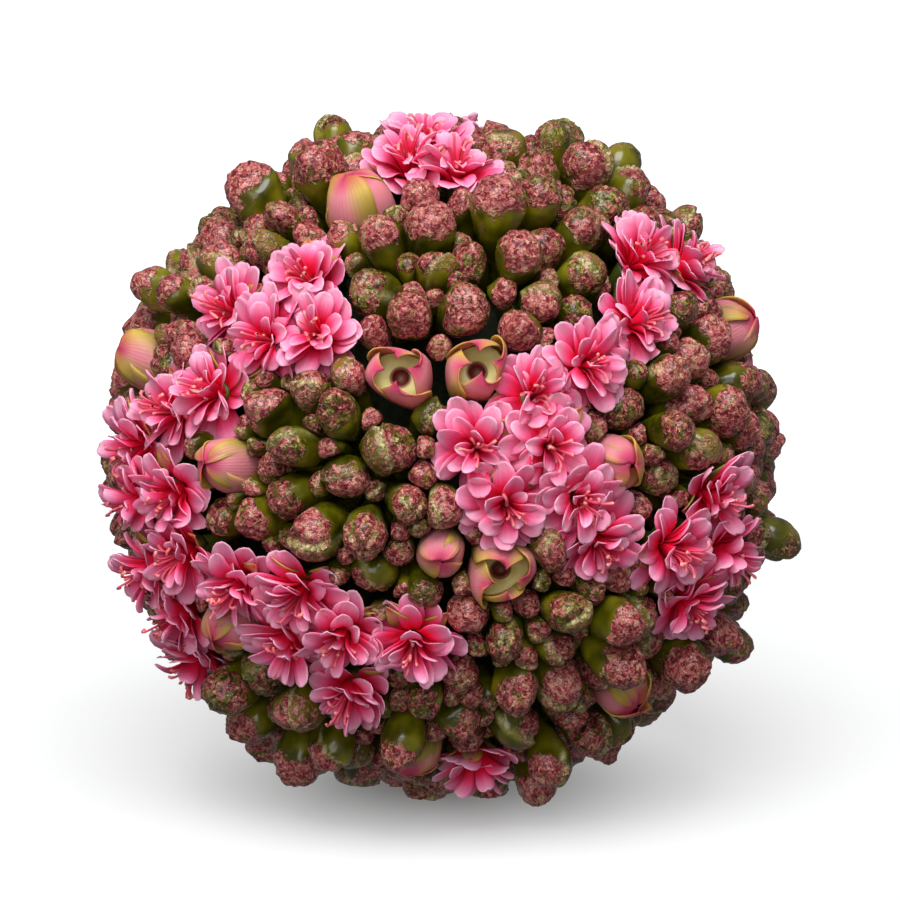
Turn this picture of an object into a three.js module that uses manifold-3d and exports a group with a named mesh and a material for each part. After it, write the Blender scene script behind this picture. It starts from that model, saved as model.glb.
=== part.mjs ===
// A decorative ball of artificial kalanchoe: moulded bud sprays, bunches of double pink
// blossoms and calyx cups, all pushed by their picks into a foam ball.
// Millimetres, +Z up, the ball lying on the plane z = 0.
//
// Every piece grows outwards from the middle of the ball, so the ball is shared out first.
// Each blossom, cup and spray has an axis and a reach, and owns the directions that lie
// nearest to it when the reach is allowed for. The borders between two owners are planes
// through the middle of the ball, and whatever would cross one is bent clear of it.

import * as THREE from 'three';
import { mergeVertices } from 'three/addons/utils/BufferGeometryUtils.js';
import Module from 'manifold-3d';

const wasm = await Module();
wasm.setup();

// Driving dimensions.
const TIP_RADIUS = 69;
const CENTRE_HEIGHT = 67;
const FOAM_RADIUS = 45;
const FOAM_DETAIL = 2;
const NEIGHBOUR_GAP = 0.15;
const FIT_GAP = 0.3;

// Picks: the stiff stub under each piece, and how deep it goes.
const PICK_SIDES = 3;
const PICK_RADIUS = 1.6;
const PICK_DEPTH_RADIUS = 37;
const PICK_TOP_RADIUS = 49.3;
const PICK_INTO_HUB = 1;
const HOLE_OVERRUN = 2;
const SEAT_RADIUS = FOAM_RADIUS + FIT_GAP;

// Buds.
const AREA_PER_BUD = 165;
const AREA_RADIUS = 66;
const BUD_SIDES = 5;
const HEAD_RADIUS = 4.9;
const HEAD_VARIATION = 0.8;
const TIP_VARIATION = 1.8;
const FOOT_SINK = 0.6;
const STALK_ROOT_RADIUS = 46.5;
const STALK_BEND_RADIUS = 56;
const ROOT_SPREAD = 0.45;
const BEND_SPREAD = 0.75;
const HEAD_AT = 0.75;
const NEAR_HEADS = 4 * HEAD_RADIUS;
const HUB_SIDES = 5;
const HUB_EDGE = 1.5;
const HUB_HEIGHT = 3.2;

// Buds that lean into the gaps between the reaches. Their stalks start nearer the middle of
// the hub, and keep that much room from every other piece.
const LEANING_REACH = 4.2;
const WIDEST_GAP = 3.5;
const SPRAYS_TRIED = 3;
const STALK_ROOM = 1.9;
const LEANING_ROOT_SPREAD = 0.15;
const LEANING_BEND_SPREAD = 0.6;
const LEANING_SIDES = 4;

// Blossoms. Heights are measured from the middle of the ball along the blossom's axis.
const PETALS = 5;
const FLORET_REACH = 8;
const OUTER_PETAL_LENGTH = 10.2;
const OUTER_PETAL_HALF_ANGLE = 19;
const OUTER_NOTCH_RADIUS = 5;
const OUTER_TIP_HEIGHT = 65.4;
const OUTER_NOTCH_HEIGHT = 64.4;
const TUBE_RADIUS = 2.3;
const TUBE_HEIGHT = 60;
const WAIST_RADIUS = 2;
const WAIST_HEIGHT = 63.4;
const INNER_PETAL_LENGTH = 7;
const INNER_NOTCH_RADIUS = 3.4;
const INNER_TIP_HEIGHT = 68;
const INNER_NOTCH_HEIGHT = 66.4;
const INNER_THROAT_HEIGHT = 64.6;
const STEM_RADIUS = 0.7;
const STEM_SIDES = 3;
const STEM_HEIGHT = 58.5;
const STEM_INSET = 0.5;

// Cups.
const SEPALS = 4;
const CUP_BELLY_RADIUS = 6.2;
const CUP_BELLY_HEIGHT = 60;
const SEPAL_TIP_RADIUS = 4.2;
const SEPAL_TIP_HEIGHT = 68;
const SEPAL_NOTCH_RADIUS = 6.6;
const SEPAL_NOTCH_HEIGHT = 64.4;
const CUP_FLOOR_RADIUS = 4.8;
const CUP_FLOOR_HEIGHT = 61.8;
const CUP_HOLE_RADIUS = 1.7;
const CUP_HOLE_DEPTH = 3;

// Places on the near half, as azimuth and elevation in degrees. Azimuth 0 is the front,
// and azimuth 90 is the right side.
const BUNCHES = {
  top: { florets: [[-22, 74], [8, 72], [-45, 86]], cups: [] },
  upper_left: { florets: [[-50, 35], [-37, 31], [-26, 33], [-33, 43]], cups: [] },
  left: {
    florets: [[-47, 20], [-57, 15], [-65, 8], [-52, 2], [-64, -1]],
    cups: [{ at: [-77, 21], reach: 7.5 }, { at: [-41, 8], reach: 6 }],
  },
  lower_left: { florets: [[-51, -9], [-63, -14], [-58, -22], [-62, -32]], cups: [] },
  low: {
    florets: [[-38, -12], [-25, -12], [-29, -22], [-18, -20]],
    cups: [{ at: [-43, -22], reach: 6.5 }],
  },
  low_middle: { florets: [[-5, -21], [-19, -33]], cups: [] },
  bottom: { florets: [[11, -55]], cups: [{ at: [-8, -52], reach: 7 }] },
  centre: {
    florets: [[19, 14], [6, 14], [11, 4], [24, 4], [17, 22], [28, -3]],
    cups: [{ at: [32, 9], reach: 6 }],
  },
  upper_right: {
    florets: [[42, 33], [28, 27], [54, 44], [70, 40]],
    cups: [{ at: [80, 26], reach: 7 }],
  },
  right: { florets: [[43, -7], [54, 1], [59, -10], [51, -18]], cups: [] },
};
const CUPS = {
  left_of_pair: { at: [-8, 26], reach: 6.5 },
  right_of_pair: { at: [7, 27], reach: 6.5 },
  below_centre: { at: [10.5, -8.2], reach: 6.5 },
  upper_left: { at: [-34, 62], reach: 8 },
  lower_right: { at: [44, -37], reach: 7 },
  middle: { at: [0, -5], reach: 5 },
};
const SPRAYS = {
  top_front: { at: [-4, 45], reach: 15.5 },
  top_right: { at: [26, 49], reach: 15 },
  top_left: { at: [-62, 60], reach: 13 },
  upper_left: { at: [-74, 38], reach: 13 },
  middle: { at: [-17, 8], reach: 16 },
  left: { at: [-81, -5], reach: 12.5 },
  lower_left: { at: [-40, -41], reach: 15 },
  lower_middle: { at: [21, -23], reach: 15 },
  low_right: { at: [38, -53], reach: 13 },
  right: { at: [50, 17], reach: 13.5 },
  lower_right: { at: [60, -31], reach: 11.5 },
  top_side: { at: [92, 63], reach: 13 },
  low_middle: { at: [-4, -38], reach: 10.5 },
};
const FOOT_REACH = 15;

// The far half repeats the near one after half a turn about an upright axis, which leans
// back by 12 degrees. The two halves meet in the outline seen from a little above the front.
const TURN_AXIS_LEAN = 12;
const LEFT_OUT_BEHIND = 'bunch_bottom';

const FINISHES = {
  foam: { color: 0x3b4a22, roughness: 0.95 },
  bud: { color: 0x8b6a4c, roughness: 0.45 },
  petal: { color: 0xef6f96, roughness: 0.8 },
  cup: { color: 0xd98a6a, roughness: 0.75 },
};

const radians = (degrees) => (degrees * Math.PI) / 180;

function direction([azimuth, elevation]) {
  const a = radians(azimuth);
  const e = radians(elevation);
  return new THREE.Vector3(Math.cos(e) * Math.sin(a), -Math.cos(e) * Math.cos(a), Math.sin(e));
}

// A repeatable row of numbers from 0 to 1.
const DRAW_FACTOR = 16807;
const DRAW_MODULUS = 2 ** 31 - 1;

function draws(seed) {
  let state = seed;
  return () => {
    state = (state * DRAW_FACTOR) % DRAW_MODULUS;
    return state / DRAW_MODULUS;
  };
}

const spread = (draw, half) => (2 * draw() - 1) * half;

// The owners: one entry for each blossom, cup and spray, with the node it belongs to.
function nearOwners() {
  const owners = [];
  for (const [name, { florets, cups }] of Object.entries(BUNCHES)) {
    for (const place of florets) {
      owners.push({ node: `bunch_${name}`, kind: 'floret', axis: direction(place), reach: FLORET_REACH });
    }
    for (const { at, reach } of cups) {
      owners.push({ node: `bunch_${name}`, kind: 'cup', axis: direction(at), reach });
    }
  }
  for (const [name, { at, reach }] of Object.entries(CUPS)) {
    owners.push({ node: `cup_${name}`, kind: 'cup', axis: direction(at), reach });
  }
  for (const [name, { at, reach }] of Object.entries(SPRAYS)) {
    owners.push({ node: `spray_${name}`, kind: 'spray', axis: direction(at), reach });
  }
  return owners;
}

function behind(owner) {
  const up = direction([180, 90 - TURN_AXIS_LEAN]);
  const axis = up.clone().multiplyScalar(2 * owner.axis.dot(up)).sub(owner.axis);
  return { ...owner, node: `far_${owner.node}`, axis };
}

const FIRST_SEED = 1000;
const SEED_STEP = 37;

function allOwners() {
  const near = nearOwners();
  const far = near.filter((owner) => owner.node !== LEFT_OUT_BEHIND).map(behind);
  const foot = { node: 'spray_foot', kind: 'spray', axis: direction([0, -90]), reach: FOOT_REACH };
  const owners = [...near, ...far, foot];
  owners.forEach(settle);
  return owners;
}

// Gives an owner its seed, its pull and its own directions. The pull is the axis, made
// longer for a wider reach.
function settle(owner, index) {
  owner.seed = FIRST_SEED + SEED_STEP * index;
  owner.pull = owner.axis.clone().divideScalar(Math.cos(radians(owner.reach)));
  setFrame(owner);
}

// An owner's own directions: across is level, and upward is square to it and to the axis.
// Straight below the ball every direction is level, and across is then +X.
const STRAIGHT_DOWN = 0.1;

function setFrame(owner) {
  owner.across = new THREE.Vector3(0, 0, 1).cross(owner.axis);
  if (owner.across.length() < STRAIGHT_DOWN) {
    owner.across.set(1, 0, 0);
  }
  owner.across.normalize();
  owner.upward = owner.axis.clone().cross(owner.across);
}

// A wall is a plane with its clear side in front: through the middle of the ball between
// two owners, or halfway between two points.
function wallsOf(owner, owners) {
  const walls = [];
  for (const other of owners) {
    if (other !== owner && other.axis.dot(owner.axis) > 0) {
      walls.push({ normal: owner.pull.clone().sub(other.pull).normalize(), offset: 0 });
    }
  }
  return walls;
}

function wallBetween(mine, theirs) {
  const normal = mine.clone().sub(theirs).normalize();
  const middle = mine.clone().add(theirs).multiplyScalar(0.5);
  return { normal, offset: normal.dot(middle) };
}

// Moves a point towards its anchor, the more the nearer it comes to a wall, and always
// stops it short of the wall. Room is how many times the way from the anchor to the point
// would fit before the wall.
const LEAST_CLEARANCE = 0.05;
const PLENTY_OF_ROOM = 8;
const PRESS_SHARPNESS = 4;

function press(point, anchor, walls) {
  let room = Infinity;
  for (const { normal, offset } of walls) {
    const from = Math.max(normal.dot(anchor) - offset - NEIGHBOUR_GAP, LEAST_CLEARANCE);
    const spent = normal.dot(anchor) - normal.dot(point);
    if (spent > 0) {
      room = Math.min(room, from / spent);
    }
  }
  if (room > PLENTY_OF_ROOM) {
    return point;
  }
  const kept = room / (1 + room ** PRESS_SHARPNESS) ** (1 / PRESS_SHARPNESS);
  return anchor.clone().lerp(point, kept);
}

// Bud places: even points over the whole ball are dealt out to their owners, and each
// spray sets its buds as evenly as it can over its own points.
const EVEN_POINTS = 4000;
const GOLDEN_TURN = Math.PI * (3 - Math.sqrt(5));

function evenPoint(index) {
  const z = 1 - (2 * index + 1) / EVEN_POINTS;
  const ring = Math.sqrt(1 - z * z);
  const turn = index * GOLDEN_TURN;
  return new THREE.Vector3(ring * Math.cos(turn), ring * Math.sin(turn), z);
}

function nearest(point, candidates) {
  let best = 0;
  candidates.forEach((candidate, index) => {
    if (candidate.dot(point) > candidates[best].dot(point)) {
      best = index;
    }
  });
  return best;
}

function dealOut(points, owners) {
  const pulls = owners.map((owner) => owner.pull);
  owners.forEach((owner) => {
    owner.ground = [];
  });
  points.forEach((point) => owners[nearest(point, pulls)].ground.push(point));
}

function centreSprays(sprays) {
  for (const spray of sprays) {
    spray.axis = middleOf(spray.ground);
    setFrame(spray);
  }
}

function middleOf(points) {
  const sum = new THREE.Vector3();
  points.forEach((point) => sum.add(point));
  return sum.normalize();
}

// The middle of the widest gap gets a bud from the nearest spray whose stalk can reach it
// over its own ground, again and again, until no gap is wide.
const STALK_PLACES = [0.1, 0.2, 0.3, 0.4, 0.5, 0.6];

function degreesPast(point, axis, reach) {
  return (Math.acos(Math.min(1, point.dot(axis))) * 180) / Math.PI - reach;
}

function leaningLine(spray, place, tipRadius) {
  return budLine(spray, place, tipRadius, LEANING_ROOT_SPREAD, LEANING_BEND_SPREAD);
}

function stalkOf(spray, place) {
  const line = leaningLine(spray, place, TIP_RADIUS);
  return STALK_PLACES.map((at) => line.getPoint(at));
}

function roomAt(point, mine, others) {
  const rooms = others.map((other) => mine.pull.clone().sub(other.pull).normalize().dot(point));
  return Math.min(...rooms);
}

function isClear(stalk, node, own, owners, stalks) {
  const others = owners.filter((owner) => owner.node !== node);
  const foreign = stalks.filter((other) => other.node !== node).flatMap((other) => other.stalk);
  return stalk.every((point) => {
    const roomy = own.some((mine) => roomAt(point, mine, others) >= STALK_ROOM);
    return roomy && foreign.every((other) => other.distanceTo(point) > 2 * STALK_ROOM);
  });
}

function leanBud(at, sprays, owners, stalks) {
  const nearest = [...sprays].sort((one, other) => other.axis.dot(at) - one.axis.dot(at));
  for (const spray of nearest.slice(0, SPRAYS_TRIED)) {
    const { node } = spray;
    const bud = { node, kind: 'bud', axis: at, reach: LEANING_REACH };
    settle(bud, owners.length);
    const stalk = stalkOf(spray, at);
    const own = [...owners.filter((owner) => owner.node === node), bud];
    if (isClear(stalk, node, own, owners, stalks)) {
      owners.push(bud);
      stalks.push({ node, stalk });
      return;
    }
  }
}

function leanBudsIntoGaps(points, sprays, owners) {
  const stalks = [];
  const gapAt = (point) => Math.min(...owners.map(({ axis, reach }) => degreesPast(point, axis, reach)));
  let gaps = points.map(gapAt);
  while (Math.max(...gaps) > WIDEST_GAP) {
    const at = points[gaps.indexOf(Math.max(...gaps))];
    gaps = gaps.map((gap, index) => Math.min(gap, degreesPast(points[index], at, LEANING_REACH)));
    leanBud(at, sprays, owners, stalks);
  }
}

function shareOut(owners) {
  const points = Array.from({ length: EVEN_POINTS }, (_, index) => evenPoint(index));
  const sprays = owners.filter((owner) => owner.kind === 'spray');
  dealOut(points, owners);
  centreSprays(sprays);
  leanBudsIntoGaps(points, sprays, owners);
  dealOut(points, owners);
}

const SETTLING_PASSES = 5;

function budPlaces(spray) {
  const areaPerPoint = (4 * Math.PI * AREA_RADIUS ** 2) / EVEN_POINTS;
  const count = Math.round((spray.ground.length * areaPerPoint) / AREA_PER_BUD);
  let places = [spray.ground[nearest(spray.axis, spray.ground)]];
  while (places.length < count) {
    const closeness = spray.ground.map((point) => point.dot(places[nearest(point, places)]));
    places.push(spray.ground[closeness.indexOf(Math.min(...closeness))]);
  }
  for (let pass = 0; pass < SETTLING_PASSES; pass += 1) {
    const shares = places.map(() => []);
    spray.ground.forEach((point) => shares[nearest(point, places)].push(point));
    places = shares.map(middleOf);
  }
  return places;
}

// A closed body from rings of points, from the bottom ring to the top one. A ring of one
// point is a tip. Rings run anticlockwise when seen from outside, looking down on the top.
// Where thin, its quads are split along the shorter diagonal, so that the outside and the
// inside of a wall are split alike and never cross.
function loft(rings, thin = false) {
  const positions = [];
  const faces = [];
  const starts = rings.map((ring) => {
    const start = positions.length / 3;
    ring.forEach((point) => positions.push(point.x, point.y, point.z));
    return start;
  });
  for (let level = 0; level + 1 < rings.length; level += 1) {
    const [low, high] = [rings[level], rings[level + 1]];
    const [a, b] = [starts[level], starts[level + 1]];
    const sides = Math.max(low.length, high.length);
    for (let side = 0; side < sides; side += 1) {
      const next = (side + 1) % sides;
      if (low.length === 1) {
        faces.push(a, b + next, b + side);
      } else if (high.length === 1) {
        faces.push(a + side, a + next, b);
      } else if (thin && low[next].distanceTo(high[side]) < low[side].distanceTo(high[next])) {
        faces.push(a + side, a + next, b + side);
        faces.push(a + next, b + next, b + side);
      } else {
        faces.push(a + side, a + next, b + next);
        faces.push(a + side, b + next, b + side);
      }
    }
  }
  closeEnd(faces, starts[0], rings[0].length, true);
  closeEnd(faces, starts[rings.length - 1], rings[rings.length - 1].length, false);
  return { positions, faces };
}

function closeEnd(faces, start, sides, bottom) {
  for (let side = 1; side + 1 < sides; side += 1) {
    const [a, b, c] = [start, start + side, start + side + 1];
    faces.push(...(bottom ? [a, c, b] : [a, b, c]));
  }
}

function solid({ positions, faces }) {
  const mesh = new wasm.Mesh({
    numProp: 3,
    vertProperties: new Float32Array(positions),
    triVerts: new Uint32Array(faces),
  });
  return new wasm.Manifold(mesh);
}

function solidFrom(geometry) {
  geometry.deleteAttribute('normal');
  geometry.deleteAttribute('uv');
  const merged = mergeVertices(geometry);
  return solid({
    positions: Array.from(merged.attributes.position.array),
    faces: Array.from(merged.index.array),
  });
}

function fuse(solids) {
  return solids.reduce((whole, piece) => whole.add(piece));
}

// A ring of points about an axis, at a height along it.
function ringAbout(centre, across, upward, radius, sides, roll = 0) {
  const ring = [];
  for (let side = 0; side < sides; side += 1) {
    const angle = roll + (2 * Math.PI * side) / sides;
    const point = centre.clone();
    point.addScaledVector(across, radius * Math.cos(angle));
    point.addScaledVector(upward, radius * Math.sin(angle));
    ring.push(point);
  }
  return ring;
}

// The same in an owner's own frame.
function ownRing(owner, height, radius, sides, roll) {
  const centre = owner.axis.clone().multiplyScalar(height);
  return ringAbout(centre, owner.across, owner.upward, radius, sides, roll);
}

function prism(owner, low, high, radius) {
  return solid(loft([low, high].map((height) => ownRing(owner, height, radius, PICK_SIDES))));
}

function pick(owner, high) {
  return prism(owner, PICK_DEPTH_RADIUS, high, PICK_RADIUS);
}

// One bud: a stalk that leaves the hub, leans outwards and swells into a club-shaped head.
function budLine(spray, place, tipRadius, rootSpread = ROOT_SPREAD, bendSpread = BEND_SPREAD) {
  const along = (share) => spray.axis.clone().lerp(place, share).normalize();
  return new THREE.QuadraticBezierCurve3(
    along(rootSpread).multiplyScalar(STALK_ROOT_RADIUS),
    along(bendSpread).multiplyScalar(STALK_BEND_RADIUS),
    place.clone().multiplyScalar(tipRadius),
  );
}

const BUD_RINGS = [
  { at: 0.7, share: 1 },
  { at: 0.93, share: 0.7 },
];

// A leaning bud stays slim until it is over its own ground, and is pressed only there.
const SLIM_RING = { at: 0.5, share: 0.3 };
const LEANING_RINGS = [
  { at: 0.8, share: 1 },
  { at: 0.95, share: 0.7 },
];

// The buds underneath reach just through the surface, and are then pressed flat there.
function tipRadiusOf(spray, place, draw) {
  const radius = TIP_RADIUS + spread(draw, TIP_VARIATION);
  if (spray.node === 'spray_foot') {
    return (CENTRE_HEIGHT + FOOT_SINK) / -place.z;
  }
  return radius;
}

function budOf(spray, place, draw) {
  const tipRadius = tipRadiusOf(spray, place, draw);
  const head = HEAD_RADIUS + spread(draw, HEAD_VARIATION);
  const roll = draw() * 2 * Math.PI;
  return { line: budLine(spray, place, tipRadius), head, roll, sides: BUD_SIDES };
}

function leaningBudOf(spray, owner, walls) {
  const bud = budOf(spray, owner.axis, draws(owner.seed));
  const line = leaningLine(spray, owner.axis, bud.line.v2.length());
  return { ...bud, line, sides: LEANING_SIDES, walls };
}

function budRing(spray, bud, { at, share }, walls) {
  const centre = bud.line.getPoint(at);
  const along = bud.line.getTangent(at);
  const across = spray.across.clone().cross(along).normalize();
  const upward = along.clone().cross(across);
  const ring = ringAbout(centre, across, upward, bud.head * share, bud.sides, bud.roll);
  return ring.map((point) => press(point, centre, walls));
}

function budSolid(spray, bud, between) {
  const walls = [...bud.walls, ...between];
  const leaning = bud.sides === LEANING_SIDES;
  const rings = (leaning ? LEANING_RINGS : BUD_RINGS).map((ring) => budRing(spray, bud, ring, walls));
  if (leaning) {
    rings.unshift(budRing(spray, bud, SLIM_RING, []));
  }
  return solid(loft([[bud.line.getPoint(0)], ...rings, [bud.line.getPoint(1)]]));
}

// The hub reaches a little past the root of every stalk.
function hub(spray, buds, walls) {
  const roots = buds.map((bud) => bud.line.getPoint(0).projectOnPlane(spray.axis).length());
  const radius = (Math.max(...roots) + HUB_EDGE) / Math.cos(Math.PI / HUB_SIDES);
  const rings = [SEAT_RADIUS, SEAT_RADIUS + HUB_HEIGHT].map((height) => {
    const centre = placed(spray, 0, 0, height);
    return ownRing(spray, height, radius, HUB_SIDES).map((point) => press(point, centre, walls));
  });
  return solid(loft(rings));
}

function bunchOfBuds(spray, owners) {
  const draw = draws(spray.seed);
  const walls = wallsOf(spray, owners);
  const leaning = owners.filter((owner) => owner.kind === 'bud' && owner.node === spray.node);
  const buds = [
    ...budPlaces(spray).map((place) => ({ ...budOf(spray, place, draw), walls })),
    ...leaning.map((owner) => leaningBudOf(spray, owner, wallsOf(owner, owners))),
  ];
  const heads = buds.map((bud) => bud.line.getPoint(HEAD_AT));
  const solids = buds.map((bud, index) => {
    const others = heads.filter((head, other) => other !== index);
    const near = others.filter((head) => head.distanceTo(heads[index]) < NEAR_HEADS);
    return budSolid(spray, bud, near.map((head) => wallBetween(heads[index], head)));
  });
  return fuse([hub(spray, buds, walls), pick(spray, SEAT_RADIUS + PICK_INTO_HUB), ...solids]);
}

function placed(owner, angle, radius, height) {
  const point = owner.axis.clone().multiplyScalar(height);
  point.addScaledVector(owner.across, radius * Math.cos(angle));
  return point.addScaledVector(owner.upward, radius * Math.sin(angle));
}

function pressAll(owner, points, walls) {
  return points.map((point) => {
    const anchor = owner.axis.clone().multiplyScalar(owner.axis.dot(point));
    return press(point, anchor, walls);
  });
}

const petalTurn = (2 * Math.PI) / PETALS;
const rollOf = (owner) => draws(owner.seed)() * 2 * Math.PI;

// The outer petals' outline: for each petal a notch and then its two shoulders.
function outerOutline(owner, roll) {
  const outline = [];
  for (let petal = 0; petal < PETALS; petal += 1) {
    const middle = roll + petal * petalTurn;
    const half = radians(OUTER_PETAL_HALF_ANGLE);
    outline.push(placed(owner, middle - petalTurn / 2, OUTER_NOTCH_RADIUS, OUTER_NOTCH_HEIGHT));
    outline.push(placed(owner, middle - half, OUTER_PETAL_LENGTH, OUTER_TIP_HEIGHT));
    outline.push(placed(owner, middle + half, OUTER_PETAL_LENGTH, OUTER_TIP_HEIGHT));
  }
  return outline;
}

// The inner petals' outline: a notch above each outer petal, and a tip between two of them.
function innerOutline(owner, roll) {
  const outline = [];
  for (let petal = 0; petal < PETALS; petal += 1) {
    const middle = roll + petal * petalTurn;
    outline.push(placed(owner, middle, INNER_NOTCH_RADIUS, INNER_NOTCH_HEIGHT));
    outline.push(placed(owner, middle + petalTurn / 2, INNER_PETAL_LENGTH, INNER_TIP_HEIGHT));
  }
  return outline;
}

// Joins a ring of one point for each petal to an outline with several for each petal. The
// ring's point lies under the middle of its petal.
function skirt(faces, ring, outline, steps, first, outside) {
  const add = (a, b, c) => faces.push(...(outside ? [a, b, c] : [a, c, b]));
  for (let petal = 0; petal < PETALS; petal += 1) {
    for (let step = 0; step < steps; step += 1) {
      const from = outline + ((petal * steps + step + first) % (PETALS * steps));
      const to = outline + ((petal * steps + step + first + 1) % (PETALS * steps));
      add(ring + petal, to, from);
    }
    const next = (petal + 1) % PETALS;
    const between = outline + (((petal + 1) * steps + first) % (PETALS * steps));
    add(ring + petal, ring + next, between);
  }
}

// One double blossom as a single skin: up from the foot of its calyx to the outer petals,
// in over them to a waist, out again under the inner petals and in over those to the throat.
function floretSolid(owner, walls) {
  const roll = rollOf(owner);
  const outer = pressAll(owner, outerOutline(owner, roll), walls);
  const inner = pressAll(owner, innerOutline(owner, roll), walls);
  const tube = pressAll(owner, ownRing(owner, TUBE_HEIGHT, TUBE_RADIUS, PETALS, roll), walls);
  const waist = pressAll(owner, ownRing(owner, WAIST_HEIGHT, WAIST_RADIUS, PETALS, roll), walls);
  const foot = placed(owner, 0, 0, SEAT_RADIUS);
  const throat = placed(owner, 0, 0, INNER_THROAT_HEIGHT);
  const points = [...tube, ...outer, ...waist, ...inner, foot, throat];
  const outerAt = PETALS;
  const waistAt = outerAt + outer.length;
  const innerAt = waistAt + PETALS;
  const footAt = innerAt + inner.length;
  const throatAt = footAt + 1;
  const tipBeforeFirstPetal = inner.length - 1;
  const faces = [];
  skirt(faces, 0, outerAt, outer.length / PETALS, 0, true);
  skirt(faces, waistAt, outerAt, outer.length / PETALS, 0, false);
  skirt(faces, waistAt, innerAt, inner.length / PETALS, tipBeforeFirstPetal, true);
  for (let petal = 0; petal < PETALS; petal += 1) {
    faces.push(petal, footAt, (petal + 1) % PETALS);
  }
  for (let step = 0; step < inner.length; step += 1) {
    faces.push(throatAt, innerAt + step, innerAt + ((step + 1) % inner.length));
  }
  return solid({ positions: points.flatMap((point) => point.toArray()), faces });
}

// A calyx cup: a tulip-shaped bowl of four curled sepals with a hole in its floor.
function sepalRim(owner, roll) {
  const rim = [];
  const steps = 2 * SEPALS;
  for (let step = 0; step < steps; step += 1) {
    const isTip = step % 2 === 0;
    const radius = isTip ? SEPAL_TIP_RADIUS : SEPAL_NOTCH_RADIUS;
    const height = isTip ? SEPAL_TIP_HEIGHT : SEPAL_NOTCH_HEIGHT;
    rim.push(placed(owner, roll + (2 * Math.PI * step) / steps, radius, height));
  }
  return rim;
}

function cupSolid(owner, walls) {
  const roll = rollOf(owner);
  const sides = 2 * SEPALS;
  const level = (height, radius) => ownRing(owner, height, radius, sides, roll);
  const rings = [
    [placed(owner, 0, 0, SEAT_RADIUS)],
    level(CUP_BELLY_HEIGHT, CUP_BELLY_RADIUS),
    sepalRim(owner, roll),
    level(CUP_FLOOR_HEIGHT, CUP_FLOOR_RADIUS),
    level(CUP_FLOOR_HEIGHT, CUP_HOLE_RADIUS),
  ].map((ring) => pressAll(owner, ring, walls));
  rings.push([owner.axis.clone().multiplyScalar(CUP_FLOOR_HEIGHT - CUP_HOLE_DEPTH)]);
  return solid(loft(rings, true));
}

const MAKERS = { floret: floretSolid, cup: cupSolid };

// The funnel under a blossom or a cup, which a side stem enters through one of its faces.
const FUNNELS = {
  floret: { sides: PETALS, radius: TUBE_RADIUS, height: TUBE_HEIGHT },
  cup: { sides: 2 * SEPALS, radius: CUP_BELLY_RADIUS, height: CUP_BELLY_HEIGHT },
};

function stemEnd(owner, towards) {
  const { sides, radius, height } = FUNNELS[owner.kind];
  const turn = (2 * Math.PI) / sides;
  const wanted = Math.atan2(towards.axis.dot(owner.upward), towards.axis.dot(owner.across));
  const first = rollOf(owner) + turn / 2;
  const face = first + Math.round((wanted - first) / turn) * turn;
  const here = (radius * (STEM_HEIGHT - SEAT_RADIUS)) / (height - SEAT_RADIUS);
  return placed(owner, face, here * STEM_INSET, STEM_HEIGHT);
}

function stem(from, to) {
  const start = stemEnd(from, to);
  const end = stemEnd(to, from);
  const along = end.clone().sub(start).normalize();
  const across = along.clone().cross(from.axis).normalize();
  const upward = along.clone().cross(across);
  const ring = (centre) => ringAbout(centre, across, upward, STEM_RADIUS, STEM_SIDES, -Math.PI / 2);
  return solid(loft([ring(start), ring(end)]));
}

function bunchSolid(members, owners) {
  const parts = [pick(members[0], PICK_TOP_RADIUS)];
  members.forEach((member, index) => {
    parts.push(MAKERS[member.kind](member, wallsOf(member, owners)));
    if (index > 0) {
      const earlier = members.slice(0, index);
      parts.push(stem(member, earlier[nearest(member.axis, earlier.map((other) => other.axis))]));
    }
  });
  return fuse(parts);
}

function loneCupSolid(owner, owners) {
  return fuse([pick(owner, PICK_TOP_RADIUS), cupSolid(owner, wallsOf(owner, owners))]);
}

// The foam ball, with a plain hole for each pick.
function foamSolid(pickOwners) {
  const ball = solidFrom(new THREE.IcosahedronGeometry(FOAM_RADIUS, FOAM_DETAIL));
  const grow = FIT_GAP / Math.cos(Math.PI / PICK_SIDES);
  const holes = pickOwners.map((owner) => (
    prism(owner, PICK_DEPTH_RADIUS - FIT_GAP, FOAM_RADIUS + HOLE_OVERRUN, PICK_RADIUS + grow)
  ));
  return holes.reduce((rest, hole) => rest.subtract(hole), ball);
}

// What reaches below the surface that the ball lies on is pressed flat there.
function restOnSurface(whole) {
  const block = new THREE.BoxGeometry(4 * TIP_RADIUS, 4 * TIP_RADIUS, TIP_RADIUS);
  block.translate(0, 0, -CENTRE_HEIGHT - TIP_RADIUS / 2);
  return whole.subtract(solidFrom(block));
}

function meshOf(name, whole, finish) {
  const { vertProperties, triVerts } = whole.getMesh();
  const geometry = new THREE.BufferGeometry();
  geometry.setAttribute('position', new THREE.BufferAttribute(vertProperties, 3));
  geometry.setIndex(new THREE.BufferAttribute(triVerts, 1));
  geometry.computeVertexNormals();
  const material = new THREE.MeshStandardMaterial({ ...FINISHES[finish], metalness: 0 });
  const mesh = new THREE.Mesh(geometry, material);
  mesh.name = name;
  return mesh;
}

function buildBall() {
  const owners = allOwners();
  shareOut(owners);
  const names = [...new Set(owners.map((owner) => owner.node))];
  const ball = new THREE.Group();
  const pickOwners = [];
  for (const name of names) {
    const members = owners.filter((owner) => owner.node === name);
    const [first] = members;
    pickOwners.push(first);
    if (first.kind === 'spray') {
      ball.add(meshOf(name, restOnSurface(bunchOfBuds(first, owners)), 'bud'));
    } else if (name.includes('cup_')) {
      ball.add(meshOf(name, restOnSurface(loneCupSolid(first, owners)), 'cup'));
    } else {
      ball.add(meshOf(name, restOnSurface(bunchSolid(members, owners)), 'petal'));
    }
  }
  ball.add(meshOf('foam_ball', foamSolid(pickOwners), 'foam'));
  ball.position.z = CENTRE_HEIGHT;
  return ball;
}

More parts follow.
